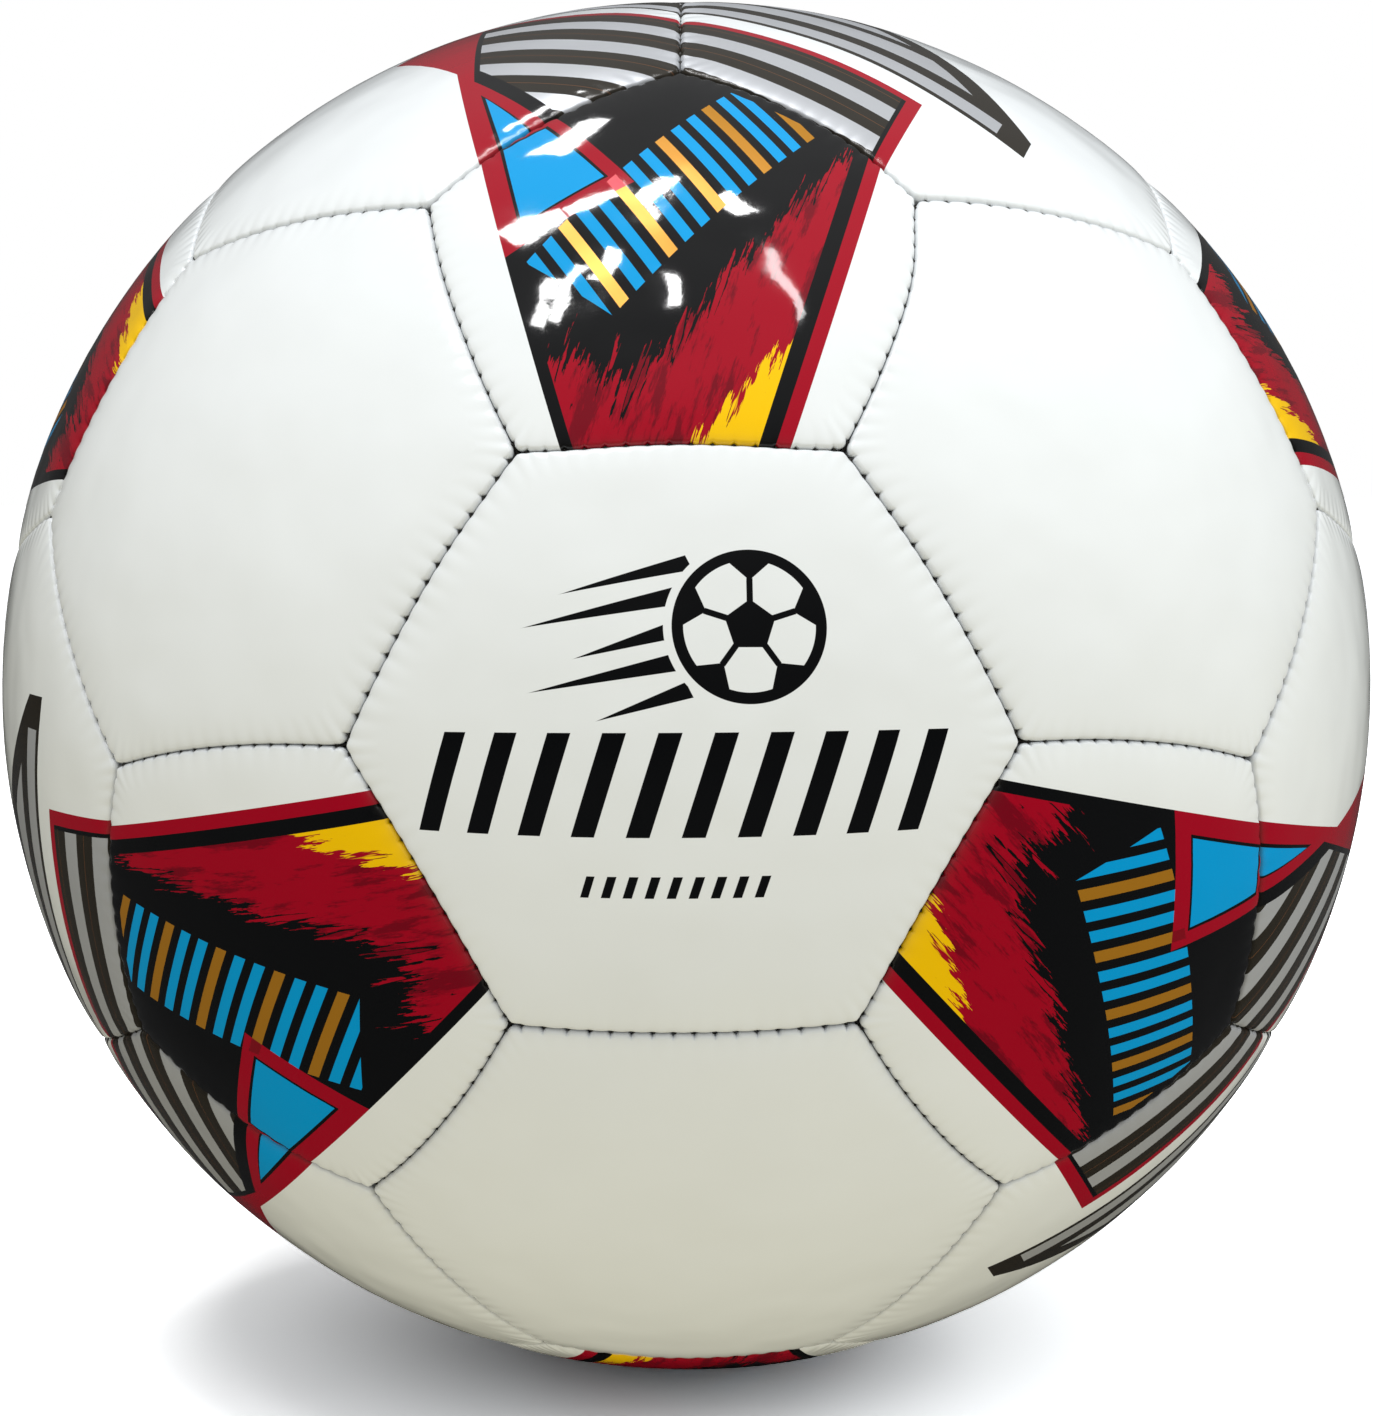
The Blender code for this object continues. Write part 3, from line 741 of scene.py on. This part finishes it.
def frontEmblem():
    # a plain ball with trails behind it, a row of slanted bars and a row of short dashes, all black
    tree, point, end = newPrint("frontEmblem")
    ballX, ballY = 9.0, 15.2

    def onDisc(radius, turn):
        # the point at this radius and turn from the small ball's middle
        return ballX + radius * np.cos(turn), ballY + radius * np.sin(turn)

    toBall = put(tree, "VectorMath", point, (-ballX, -ballY, 0), operation="ADD").outputs[0]
    flat = put(tree, "VectorMath", toBall, (1, 1, 0), operation="MULTIPLY").outputs[0]
    reach = put(tree, "VectorMath", flat, operation="LENGTH").outputs["Value"]
    ring = within(tree, less(tree, 10.2, reach), less(tree, reach, 8.7))
    patchTurns = np.radians(18 + 72 * np.arange(5))
    corners = [onDisc(3.5, turn) for turn in patchTurns]
    marks = [ring, shapeField(tree, point, corners)]
    for angle in patchTurns:
        c, s = np.cos(angle), np.sin(angle)
        offset = num(tree, "ABSOLUTE", dot(tree, flat, (-s, c, 0)))
        ahead = dot(tree, flat, (c, s, 0))
        marks.append(within(tree, less(tree, 0.42, offset), less(tree, ahead, 3.0), less(tree, 6.3, ahead)))
        patchCorners = [onDisc(6.0, angle), onDisc(9.3, angle - 0.34), onDisc(9.3, angle + 0.34)]
        marks.append(shapeField(tree, point, patchCorners))
    tails = [(-16, 22.6, 24.6), (-21, 18.2, 20.7), (-14, 14.0, 16.4), (-20, 9.6, 12.0), (-11, 5.9, 7.9)]
    trails = [shapeField(tree, point, [(tail, low - 3.0), (1.6, low), (0.6, high)])
              for tail, low, high in tails]
    behind = within(tree, either(tree, *trails), less(tree, reach, 11.3))
    disc = within(tree, either(tree, *marks), less(tree, 10.2, reach))
    emblem = either(tree, disc, behind)

    # bars: a repeating slanted band cut to one row
    slant = dot(tree, point, (1, -0.32, 0))
    height = dot(tree, point, (0, 1, 0))
    bar = less(tree, 1.55, num(tree, "PINGPONG", num(tree, "ADD", slant, 34.5 + 3.63), 3.63))
    row = within(tree, num(tree, "ADD", height, 12.3), less(tree, 1.4, height),
                 num(tree, "ADD", slant, 35.0), less(tree, 38.0, slant))
    bars = within(tree, bar, row)
    dash = less(tree, 0.62, num(tree, "PINGPONG", num(tree, "ADD", slant, 50.0), 1.45))
    dashes = within(tree, dash, num(tree, "ADD", height, 20.6), less(tree, -17.6, height),
                    num(tree, "ADD", slant, 7.0), less(tree, 17.4, slant))
    amount = mask(tree, either(tree, emblem, bars, dashes))
    return closeGroup(tree, end, Color=paint(tree, inks["white"], inks["black"], amount))


# panel finish

skinFinish = {
    "roughness": 0.050,
    "mottle": 0.06,       # how far the roughness wanders
    "seamRough": 0.32,    # added roughness at the seams
    # how much the colour darkens towards the seams, and how fast that fades
    "seamDarkening": 0.22,
    "seamDarkReach": 0.42 * mm,
    "grain": 0.20,
    "grainScale": 900.0,
    "buckle": 34.0,       # slow waves in the skin, which bend the reflections
    "foilMetal": 0.40,    # silver and gold inks
    "foilRough": 0.24,
}


def panelSkin():
    # coated skin over foam: colour darkened towards the seams, slight mottling, and a fine grain
    inputs = [("Color", "Color", inks["white"]), ("Seam", "Float", 1.0), ("Place", "Vector", (0, 0, 0))]
    outputs = [("Color", "Color"), ("Roughness", "Float"), ("Height", "Float")]
    tree, start, end = newGroup("panelSkin", inputs, outputs)
    color, seam, place = start.outputs[0], start.outputs[1], start.outputs[2]
    mottle = noise(tree, place, 55.0, 3.0, 0.6)
    speck = noise(tree, place, 600.0, 2.0, 0.5)
    grain = noise(tree, place, skinFinish["grainScale"], 2.0, 0.5)
    # the colour is darkened towards a brown at the seam, fading out within a millimetre or two
    fading = num(tree, "POWER", 0.5, num(tree, "DIVIDE", seam, skinFinish["seamDarkReach"]))
    near = num(tree, "MULTIPLY", fading, num(tree, "MULTIPLY_ADD", speck, 1.1, 0.35), clamp=True)
    seamDarkened = paint(tree, color, tone(56, 49, 40), times(tree, near, skinFinish["seamDarkening"]))
    worn = num(tree, "POWER", 0.5, num(tree, "DIVIDE", seam, 1.0 * mm))
    shade = num(tree, "MULTIPLY_ADD", mottle, -0.05, 1.02)
    buckle = noise(tree, place, 75.0, 1.0, 0.4)
    toned = put(tree, "VectorMath", seamDarkened, operation="SCALE")
    feed(tree, toned, {"Scale": shade})
    mottled = num(tree, "MULTIPLY_ADD", mottle, skinFinish["mottle"],
                  skinFinish["roughness"] - skinFinish["mottle"] / 2)
    rough = num(tree, "MULTIPLY_ADD", worn, skinFinish["seamRough"], mottled, clamp=True)
    fineHeight = num(tree, "MULTIPLY_ADD", grain, skinFinish["grain"], times(tree, speck, 0.3))
    height = num(tree, "MULTIPLY_ADD", buckle, skinFinish["buckle"], fineHeight)
    return closeGroup(tree, end, Color=toned.outputs[0], Roughness=rough, Height=height)


def newMaterial(name):
    # an empty material, its tree and its shader
    material = bpy.data.materials.new(name)
    material.use_nodes = True
    tree = material.node_tree
    return material, tree, tree.nodes["Principled BSDF"]


def addBump(tree, shader, height, distance, strength=1.0):
    # the normal leans with the slope of height, which stands for this distance
    bump = put(tree, "Bump")
    feed(tree, bump, {"Strength": strength, "Distance": distance, "Height": height})
    feed(tree, shader, {"Normal": bump.outputs[0]})


def skinMaterial(name, skin, printGroup=None):
    # the panel's print, if it has one, under the shared skin finish
    material, tree, shader = newMaterial(name)
    place = put(tree, "TexCoord").outputs["Object"]
    seam = put(tree, "Attribute", attribute_name="seamDistance").outputs["Fac"]
    color = inks["white"]
    if printGroup:
        point = put(tree, "UVMap", uv_map="print").outputs[0]
        printed = useGroup(tree, printGroup, Point=point)
        color = printed.outputs["Color"]
        if name != "crestSkin":
            feed(tree, shader, {"Metallic": times(tree, printed.outputs["Foil"], skinFinish["foilMetal"])})
    finish = useGroup(tree, skin, Color=color, Seam=seam, Place=place)
    rough = finish.outputs["Roughness"]
    if printGroup:
        rough = num(tree, "MULTIPLY_ADD", printed.outputs["Foil"], skinFinish["foilRough"], rough)
    feed(tree, shader, {"Base Color": finish.outputs["Color"], "Roughness": rough, "IOR": 1.50})
    addBump(tree, shader, finish.outputs["Height"], 0.03 * mm, 0.5)
    return material


skin = panelSkin()
stripes = shoulderStripes()
skins = {
    "printed": skinMaterial("printedSkin", skin, pentagonPrint()),
    "leftShoulder": skinMaterial("leftShoulderSkin", skin, leftShoulderPrint(stripes)),
    "rightShoulder": skinMaterial("rightShoulderSkin", skin, rightShoulderPrint(stripes)),
    "crest": skinMaterial("crestSkin", skin, frontEmblem()),
    "plain": skinMaterial("plainSkin", skin),
}
skins["valve"] = skins["plain"]

for panel in layout:
    points, flat, seam, faces = buildPanel(panel, nickDepths(panel))
    mesh = makeMesh(panel["node"] + "_skin", points, faces)
    uv = mesh.uv_layers.new(name="print")
    corners = np.empty(len(mesh.loops), np.int32)
    mesh.loops.foreach_get("vertex_index", corners)
    spread = flat[:, :2] / flat[:, 2:] * ballRadius / mm
    uv.data.foreach_set("uv", spread[corners].astype(np.float32).ravel())
    edge = mesh.attributes.new("seamDistance", "FLOAT", "POINT")
    edge.data.foreach_set("value", seam.astype(np.float32))
    slotName = "printed_skin" if panel["sides"] == 5 else "white_skin"
    addPiece(panel["node"] + "_skin", mesh, "ball", [panel["node"]], skins[panel["role"]])
print("panels made:", len(layout))


# seam thread

threadShape = {
    "radius": 0.30 * mm,
    "deep": 2.05 * mm,          # between stitches
    "shallow": 1.15 * mm,       # where a stitch pulls through
    "stitchWidth": 0.40 * mm,
    "corners": 6,
    "cornerGap": 0.15 * mm,     # left free half way along a spoke seam
    "spokeStart": 0.25 * mm,    # left free at the pentagon's corner
}


def tubeMesh(path, sideways, closed):
    # a ring of corners round each path point: outward direction times cos plus sideways times sin
    count, corners = len(path), threadShape["corners"]
    around = np.arange(corners) * 2 * np.pi / corners
    outward = unit(path)
    ring = np.cos(around)[:, None] * outward[:, None] + np.sin(around)[:, None] * sideways[:, None]
    points = (path[:, None] + threadShape["radius"] * ring).reshape(-1, 3)
    rows = np.arange(count if closed else count - 1)
    a = rows[:, None] * corners + np.arange(corners)
    b = rows[:, None] * corners + (np.arange(corners) + 1) % corners
    c, d = (a + corners) % (count * corners), (b + corners) % (count * corners)
    faces = [np.stack([a, b, d, c], -1).reshape(-1, 4)]
    if not closed:
        faces += [np.arange(corners)[None, ::-1], (count - 1) * corners + np.arange(corners)[None]]
    return points, faces


def stitchedDepth(columns, half, pitch):
    # deep between stitches and close to the surface where one pulls through
    place = ((columns + half) / pitch % 1 - 0.5) * pitch
    rise = np.exp(-(place / threadShape["stitchWidth"]) ** 2)
    return threadShape["deep"] - (threadShape["deep"] - threadShape["shallow"]) * rise


def ringAxes(turn):
    # in a panel's own plane: the direction (cos turn, sin turn), and the one a quarter turn on
    return np.array([np.cos(turn), np.sin(turn), 0]), np.array([-np.sin(turn), np.cos(turn), 0])


def buildThread(panel):
    # the thread round one pentagon, and half of each seam that leaves its corners
    apothem = apothemAngle(5)
    half = halfSide(5, apothem)
    columns, pitch = sideColumns(5, apothem)
    depth = stitchedDepth(columns, half, pitch)
    loops, spokes = [], []
    angle = (columns / ballRadius)[:, None]
    onSpoke = columns < -threadShape["cornerGap"]
    spokeRun = columns[onSpoke] + half + threadShape["spokeStart"]
    polar = np.arctan(np.tan(apothem) / np.cos(np.pi / 5)) + spokeRun / ballRadius
    outward = np.array([0, 0, 1.0])
    for turn in -np.pi / 2 + 2 * np.pi * np.arange(5) / 5:
        toSide, across = ringAxes(turn)
        middle = np.sin(apothem) * toSide + np.cos(apothem) * outward
        loops.append((np.cos(angle) * middle + np.sin(angle) * across) * (ballRadius - depth)[:, None])
        toCorner, sideways = ringAxes(turn + np.pi / 5)
        line = np.sin(polar)[:, None] * toCorner + np.cos(polar)[:, None] * outward
        spokes.append((line * (ballRadius - depth[onSpoke])[:, None], sideways))
    loop = np.concatenate(loops)
    ahead = unit(np.roll(loop, -1, 0) - np.roll(loop, 1, 0))
    parts = [tubeMesh(loop, unit(np.cross(ahead, unit(loop))), True)]
    for line, sideways in spokes:
        parts.append(tubeMesh(line, np.broadcast_to(-sideways, line.shape), False))
    points, faces, start = [], [], 0
    for partPoints, partFaces in parts:
        points.append(partPoints)
        faces += [group + start for group in partFaces]
        start += len(partPoints)
    points = np.concatenate(points) @ panel["axes"]
    height = np.linalg.norm(points, axis=1, keepdims=True)
    return settle(points / height) * height, faces


def threadMaterial():
    # waxed twisted thread: plies run slantwise, with painted shade in the twist and paler worn patches
    material, tree, shader = newMaterial("waxedThread")
    place = put(tree, "TexCoord").outputs["Object"]
    twist = noise(tree, place, 2600.0, 2.0, 0.6)
    worn = noise(tree, place, 300.0, 2.0, 0.5)
    # partly painted shade: the twist noise darkens the thread as shade in its grooves would, and wear
    # lightens it
    lit = times(tree, twist, num(tree, "MULTIPLY_ADD", worn, 0.8, 0.2))
    color = paint(tree, tone(24, 23, 22), tone(70, 66, 60), lit)
    feed(tree, shader, {"Base Color": color, "Roughness": num(tree, "MULTIPLY_ADD", twist, 0.2, 0.5)})
    addBump(tree, shader, twist, 0.08 * mm)
    return material


thread = threadMaterial()
pentagons = [panel for panel in layout if panel["sides"] == 5]
for panel in pentagons:
    nodeName = panel["node"].replace("pentagon_panel", "seam_thread")
    points, faces = buildThread(panel)
    mesh = makeMesh(nodeName + "_stitching", points, faces)
    addPiece(nodeName + "_stitching", mesh, "ball", [nodeName], thread)
print("thread made:", len(pentagons))


# valve, bladder and cloth patch

def turnedMesh(name, profile, steps):
    # profile points (reach, height) carried round the +Y axis; a point of no reach closes as a pole
    profile = np.array(profile)
    onAxis = profile[:, 0] < 1e-9
    around = np.arange(steps) * 2 * np.pi / steps
    rings = profile[~onAxis]
    reach, height = rings[:, :1], np.repeat(rings[:, 1:2], steps, 1)
    points = np.stack([reach * np.cos(around), height, -reach * np.sin(around)], -1).reshape(-1, 3)
    step = np.arange(steps)
    after = (step + 1) % steps
    rows = np.arange(len(rings) - (1 if onAxis.any() else 0))
    a, b = rows[:, None] * steps + step, rows[:, None] * steps + after
    nextRow = ((rows[:, None] + 1) % len(rings)) * steps
    low, high = nextRow + step, nextRow + after
    faces = [np.stack([a, b, high, low], -1).reshape(-1, 4)]
    if onAxis.any():
        poles = profile[onAxis]
        first, last = len(points), len(points) + 1
        points = np.concatenate([points, np.array([[0, poles[0, 1], 0], [0, poles[1, 1], 0]])])
        lastRing = (len(rings) - 1) * steps
        faces += [np.stack([np.full(steps, first), after, step], 1),
                  np.stack([np.full(steps, last), lastRing + step, lastRing + after], 1)]
    return makeMesh(name, points, faces)


def arcPoints(centre, radius, start, stop, count):
    # points on a circle's arc, for a rounded edge
    angle = np.radians(np.linspace(start, stop, count))
    return list(zip(centre[0] + radius * np.cos(angle), centre[1] + radius * np.sin(angle)))


def capHeight(radius, reach):
    # height of a sphere's point at this reach from the axis: sqrt(radius^2 - reach^2)
    return np.sqrt(radius ** 2 - reach ** 2)


plug = {
    "headRadius": 2.9 * mm,
    "headHeight": 1.2 * mm,
    "headRound": 0.3 * mm,
    "shank": 1.9 * mm,
    "rib": 0.25 * mm,
    "ribs": (5.0 * mm, 9.0 * mm, 13.0 * mm),
    "channel": 0.6 * mm,
    "channelDepth": 14.0 * mm,
    "funnel": 1.2 * mm,
    "tipRound": 0.95 * mm,
}
housing = {
    "neck": 4.15 * mm,
    "seat": 3.05 * mm,
    "bore": 2.3 * mm,
    "bladderGap": 1.3 * mm,   # from the bladder's outside down to the flange
    "flange": 7.0 * mm,       # how far the flange stands out from the neck
    "flangeThick": 1.2 * mm,
    "tailWall": 1.2 * mm,
    "rimRound": 0.3 * mm,
    "slit": 1.0 * mm,
    "floorThick": 1.0 * mm,
    "seatDrop": 1.35 * mm,    # from the top of the plug down to the step it sits on
}
bladder = {"wall": 1.0 * mm, "mouth": 4.45 * mm, "flatReach": 7.2 * mm, "poleAngle": 0.05, "rows": 60}
patch = {"hole": 4.45 * mm, "reach": 15.4 * mm, "thick": 0.5 * mm, "rows": 7}
plugLow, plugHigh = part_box("valve_core")
housingLow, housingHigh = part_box("valve_housing")
bladderLow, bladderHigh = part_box("bladder")
patchLow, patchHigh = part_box("valve_patch")


def plugProfile():
    # up the needle channel, over the domed head with its ring groove, down the ribbed shank
    top, tip = plugHigh[1], plugLow[1]
    head, shank, channel, rib = plug["headRadius"], plug["shank"], plug["channel"], plug["rib"]
    under, edge, tipRound = top - plug["headHeight"], plug["headRound"], plug["tipRound"]
    points = [(0, top - plug["channelDepth"]), (channel, top - plug["channelDepth"] + channel),
              (channel, top - 0.7 * mm), (channel + 0.15 * mm, top - 0.35 * mm),
              (plug["funnel"], top - 0.02 * mm),
              (1.75 * mm, top), (1.85 * mm, top - 0.14 * mm), (2.05 * mm, top - 0.14 * mm), (2.15 * mm, top)]
    points += arcPoints((head - edge, top - edge), edge, 90, 0, 6)
    points += [(head, under + 0.1 * mm), (head - 0.1 * mm, under), (shank, under)]
    for place in plug["ribs"]:
        points += [(shank, top - place + 0.05 * mm), (shank + rib * 0.8, top - place - 0.3 * mm),
                   (shank + rib, top - place - 0.5 * mm), (shank + rib * 0.8, top - place - 0.7 * mm),
                   (shank, top - place - 1.05 * mm)]
    points += arcPoints((shank - tipRound, tip + tipRound), tipRound, 0, -90, 6)
    return points + [(0, tip)]


def housingProfile():
    # round the lip, down the neck, over the flange and the tail, and back up the bore
    rim, foot = housingHigh[1], housingLow[1]
    neck, seat, bore, edge = housing["neck"], housing["seat"], housing["bore"], housing["rimRound"]
    underBladder = bladderHigh[2] - housing["bladderGap"]
    flange = neck + housing["flange"]
    bottom = capHeight(underBladder, flange) - housing["flangeThick"]
    tail, slit, floor = bore + housing["tailWall"], housing["slit"], foot + housing["floorThick"]
    step = plugHigh[1] - housing["seatDrop"]
    points = arcPoints((neck - edge, rim - edge), edge, 90, 0, 5)
    points += [(reach, capHeight(underBladder, reach)) for reach in (neck, neck + housing["flange"] / 2)]
    points += [(flange - 0.15 * mm, capHeight(underBladder, flange)),
               (flange, capHeight(underBladder, flange) - 0.2 * mm), (flange, bottom + 0.2 * mm),
               (flange - 0.2 * mm, bottom), (tail + 0.4 * mm, bottom), (tail, bottom - 0.4 * mm),
               (tail, foot + 0.3 * mm), (tail - 0.3 * mm, foot), (slit, foot), (slit, floor), (bore, floor),
               (bore, step), (seat, step), (seat, rim - 0.15 * mm), (seat + 0.12 * mm, rim)]
    return points


def bladderProfile():
    # inside from the far pole to the valve's mouth, then the outside back to the pole
    outer, mouth = bladderHigh[2], bladder["mouth"]
    inner = outer - bladder["wall"]
    near = np.arcsin((mouth + bladder["flatReach"]) / inner)
    angle = np.linspace(np.pi - bladder["poleAngle"], near, bladder["rows"])
    inside = list(zip(inner * np.sin(angle), inner * np.cos(angle)))
    outside = list(zip(outer * np.sin(angle), outer * np.cos(angle)))[::-1]
    lip = [(mouth, capHeight(inner, mouth)), (mouth, capHeight(outer, mouth))]
    return [(0, -inner)] + inside + lip + outside + [(0, -outer)]


def patchProfile():
    # the top runs out along one sphere, and the underside comes back along one a cloth's thickness lower
    outer = np.hypot(patchHigh[1], patch["hole"])
    reach = np.linspace(patch["hole"], patch["reach"], patch["rows"])
    top = list(zip(reach, capHeight(outer, reach)))
    low = list(zip(reach, capHeight(outer - patch["thick"], reach)))
    return top + low[::-1]


def rubberMaterial(name, color, dusty, roughness, scale):
    # moulded rubber: fine pores, a little bloom on it, and a soft sheen
    material, tree, shader = newMaterial(name)
    place = put(tree, "TexCoord").outputs["Object"]
    pores = noise(tree, place, scale, 3.0, 0.6)
    bloom = noise(tree, place, scale * 0.12, 3.0, 0.55)
    dulled = paint(tree, color, dusty, num(tree, "MULTIPLY_ADD", bloom, 1.1, -0.25, clamp=True))
    rough = num(tree, "MULTIPLY_ADD", bloom, 0.2, roughness - 0.1)
    feed(tree, shader, {"Base Color": dulled, "Roughness": rough, "Sheen Weight": 0.1})
    addBump(tree, shader, pores, 0.05 * mm, 0.6)
    return material


def clothMaterial():
    # plain weave: the overlap of two sets of fine waves, with painted shade darkening the hollows between the
    # yarns' crowns and random fuzz on top
    material, tree, shader = newMaterial("patchCloth")
    place = put(tree, "TexCoord").outputs["Object"]
    split = put(tree, "SeparateXYZ", place)
    yarnTurn = 2 * np.pi / (0.6 * mm)
    warp = num(tree, "SINE", times(tree, split.outputs[0], yarnTurn))
    weft = num(tree, "SINE", times(tree, split.outputs[2], yarnTurn))
    weave = num(tree, "MULTIPLY_ADD", times(tree, warp, weft), 0.5, 0.5)
    fuzz = noise(tree, place, 900.0, 3.0, 0.6)
    # partly painted shade: lighter on the weave's crowns and darker in its hollows, mixed with random fuzz
    lit = num(tree, "MULTIPLY_ADD", fuzz, 0.4, times(tree, weave, 0.6))
    color = paint(tree, tone(150, 142, 122), tone(214, 206, 188), lit)
    feed(tree, shader, {"Base Color": color, "Roughness": 0.85})
    addBump(tree, shader, weave, 0.10 * mm)
    return material


valveRubber = rubberMaterial("valveRubber", tone(26, 26, 28), tone(58, 57, 56), 0.45, 1500.0)
plugRubber = rubberMaterial("plugRubber", tone(40, 40, 42), tone(84, 82, 78), 0.42, 1500.0)
bladderRubber = rubberMaterial("bladderRubber", tone(22, 22, 24), tone(48, 47, 46), 0.5, 400.0)
turned = [
    ("valve_housing_rubber", housingProfile(), "ball", "valve_rubber", "valve_housing", valveRubber, 72),
    ("valve_core_rubber", plugProfile(), "valve_plug", "valve_rubber", "valve_core", plugRubber, 64),
    ("bladder_balloon", bladderProfile(), "ball", "bladder_rubber", "bladder", bladderRubber, 96),
    ("valve_patch_cloth", patchProfile(), "ball", "patch_cloth", "valve_patch", clothMaterial(), 96),
]
for name, profile, body, slotName, node, material, steps in turned:
    addPiece(name, turnedMesh(name, profile, steps), body, [node], material)
print("valve, bladder and patch made")


# floor, light and camera

studio = {
    "floorTone": (0.62, 0.58, 0.43, 1),
    "floorBounce": (0.79, 0.74, 0.57, 1),  # even light from below, which the ball's own shadow leaves alone
    "floorShown": (2.30, 2.30, 2.30, 1),   # what the camera sees, so that only the contact shadow shows
    "floorInGloss": (0.05, 0.05, 0.05, 1),
    "floorHalf": 30.0,
    "skyDiffuse": 0.37,
    "skyGloss": 0.06,
    "overheadGloss": 0.42,                 # how much brighter reflections get straight above
    "sunPower": 1.27,
    "sunAngle": 110.0,
    "sunTilt": 52,
    "sunTurn": 18,
    "sunTone": (0.93, 0.965, 1.0),
    "windowHeight": 1.10,
    "windowAim": (0, 0, 0.08),
    "sidePower": 4.8,
    "sideTone": (0.97, 0.99, 1),
}
view = {
    "elevation": 3.83,
    "azimuth": 0.35,
    "distance": 4.43,    # in ball radii
    "aimHeight": -3.6 * mm,
    "roll": -0.35,
    "lens": 75.1,
    "sensor": 36,
}


def addFloor():
    # one square: pale chalk, shown brighter to the camera, that glows evenly on whatever it lights
    half, level = studio["floorHalf"], -ballRadius
    corners = np.array([[-half, -half, level], [half, -half, level],
                        [half, half, level], [-half, half, level]])
    mesh = makeMesh("floor", corners, [np.array([[0, 1, 2, 3]])], smooth=False)
    floor = bpy.data.objects.new("floor", mesh)
    bpy.context.scene.collection.objects.link(floor)
    material, tree, shader = newMaterial("paleFloor")
    tree.nodes.remove(shader)
    path = put(tree, "LightPath")
    color = paint(tree, studio["floorTone"], studio["floorInGloss"], path.outputs["Is Glossy Ray"])
    color = paint(tree, color, studio["floorShown"], path.outputs["Is Camera Ray"])
    chalk = put(tree, "BsdfDiffuse", color)
    firstBounce = num(tree, "LESS_THAN", path.outputs["Diffuse Depth"], 1.5)
    glow = put(tree, "Emission", studio["floorBounce"], firstBounce)
    shown = put(tree, "MixShader", path.outputs["Is Diffuse Ray"], chalk.outputs[0], glow.outputs[0])
    feed(tree, tree.nodes["Material Output"], {"Surface": shown.outputs[0]})
    material.cycles.emission_sampling = "NONE"
    floor.data.materials.append(material)


def addSky():
    # white behind the ball, softer where it only lights it, and dim in reflections
    world = bpy.data.worlds.new("studioSky")
    bpy.context.scene.world = world
    world.use_nodes = True
    tree = world.node_tree
    back = tree.nodes["Background"]
    path = put(tree, "LightPath")
    height = put(tree, "SeparateXYZ", put(tree, "TexCoord").outputs["Generated"]).outputs["Z"]
    overhead = num(tree, "POWER", num(tree, "MAXIMUM", height, 0.0), 2.0)
    gloss = num(tree, "MULTIPLY_ADD", overhead, studio["overheadGloss"], studio["skyGloss"])
    change = times(tree, path.outputs["Is Glossy Ray"], less(tree, gloss, studio["skyDiffuse"]))
    soft = num(tree, "ADD", change, studio["skyDiffuse"])
    strength = num(tree, "MAXIMUM", soft, path.outputs["Is Camera Ray"])
    feed(tree, back, {"Color": (1, 1, 1, 1), "Strength": strength})


def addAreaLight(name, place, target, size, power, color=(1, 1, 1)):
    # a flat panel of light that faces its target
    light = bpy.data.lights.new(name, "AREA")
    light.shape = "RECTANGLE"
    light.size, light.size_y = size
    light.energy = power
    light.color = color
    lamp = bpy.data.objects.new(name, light)
    lamp.location = place
    lamp.rotation_euler = (Vector(target) - Vector(place)).to_track_quat("-Z", "Y").to_euler()
    bpy.context.scene.collection.objects.link(lamp)
    return lamp


def addSun():
    # very wide soft light from the upper right, which reflections leave out
    light = bpy.data.lights.new("overhead", "SUN")
    light.energy = studio["sunPower"]
    light.color = studio["sunTone"]
    light.angle = np.radians(studio["sunAngle"])
    lamp = bpy.data.objects.new("overhead", light)
    lamp.rotation_euler = (np.radians(studio["sunTilt"]), 0, np.radians(studio["sunTurn"]))
    lamp.visible_glossy = False
    bpy.context.scene.collection.objects.link(lamp)


def addCamera():
    # stands at its distance, elevation and azimuth from the ball's centre, and looks just under it
    elevation, azimuth = np.radians([view["elevation"], view["azimuth"]])
    distance = view["distance"] * ballRadius
    camera = bpy.data.objects.new("camera", bpy.data.cameras.new("camera"))
    flat = distance * np.cos(elevation)
    camera.location = (flat * np.sin(azimuth), -flat * np.cos(azimuth), distance * np.sin(elevation))
    aim = Vector((0, 0, view["aimHeight"])) - camera.location
    roll = Quaternion((0, 0, 1), np.radians(view["roll"]))
    camera.rotation_euler = (aim.to_track_quat("-Z", "Y") @ roll).to_euler()
    camera.data.lens, camera.data.sensor_width = view["lens"], view["sensor"]
    camera.data.clip_start, camera.data.clip_end = 0.01, 200
    bpy.context.scene.collection.objects.link(camera)
    bpy.context.scene.camera = camera


addFloor()
addSky()
addSun()
panes = [  # across, along, width, length, power
    (-0.42, -0.50, 0.07, 0.13, 0.8), (-0.31, -0.46, 0.05, 0.18, 0.8), (-0.20, -0.44, 0.07, 0.15, 1.2),
    (-0.04, -0.52, 0.05, 0.10, 0.6), (-0.38, -0.14, 0.08, 0.14, 1.0), (-0.20, -0.08, 0.05, 0.20, 1.0),
    (-0.06, -0.12, 0.08, 0.12, 1.0), (0.12, -0.16, 0.05, 0.11, 0.6), (-0.25, 0.24, 0.14, 0.08, 0.8),
    (0.26, -0.44, 0.04, 0.30, 0.6),
]
for index, (x, y, width, length, power) in enumerate(panes):
    place = (x, y, studio["windowHeight"])
    addAreaLight("window" + str(index), place, studio["windowAim"], (width, length), power)
sidePlace, sideSize = (1.0, 0.1, 0.40), (0.8, 0.8)
side = addAreaLight("sideFill", sidePlace, (0, 0, 0), sideSize, studio["sidePower"], studio["sideTone"])
side.visible_glossy = False
addCamera()
bpy.context.scene.view_settings.view_transform = "Standard"
print("studio made")
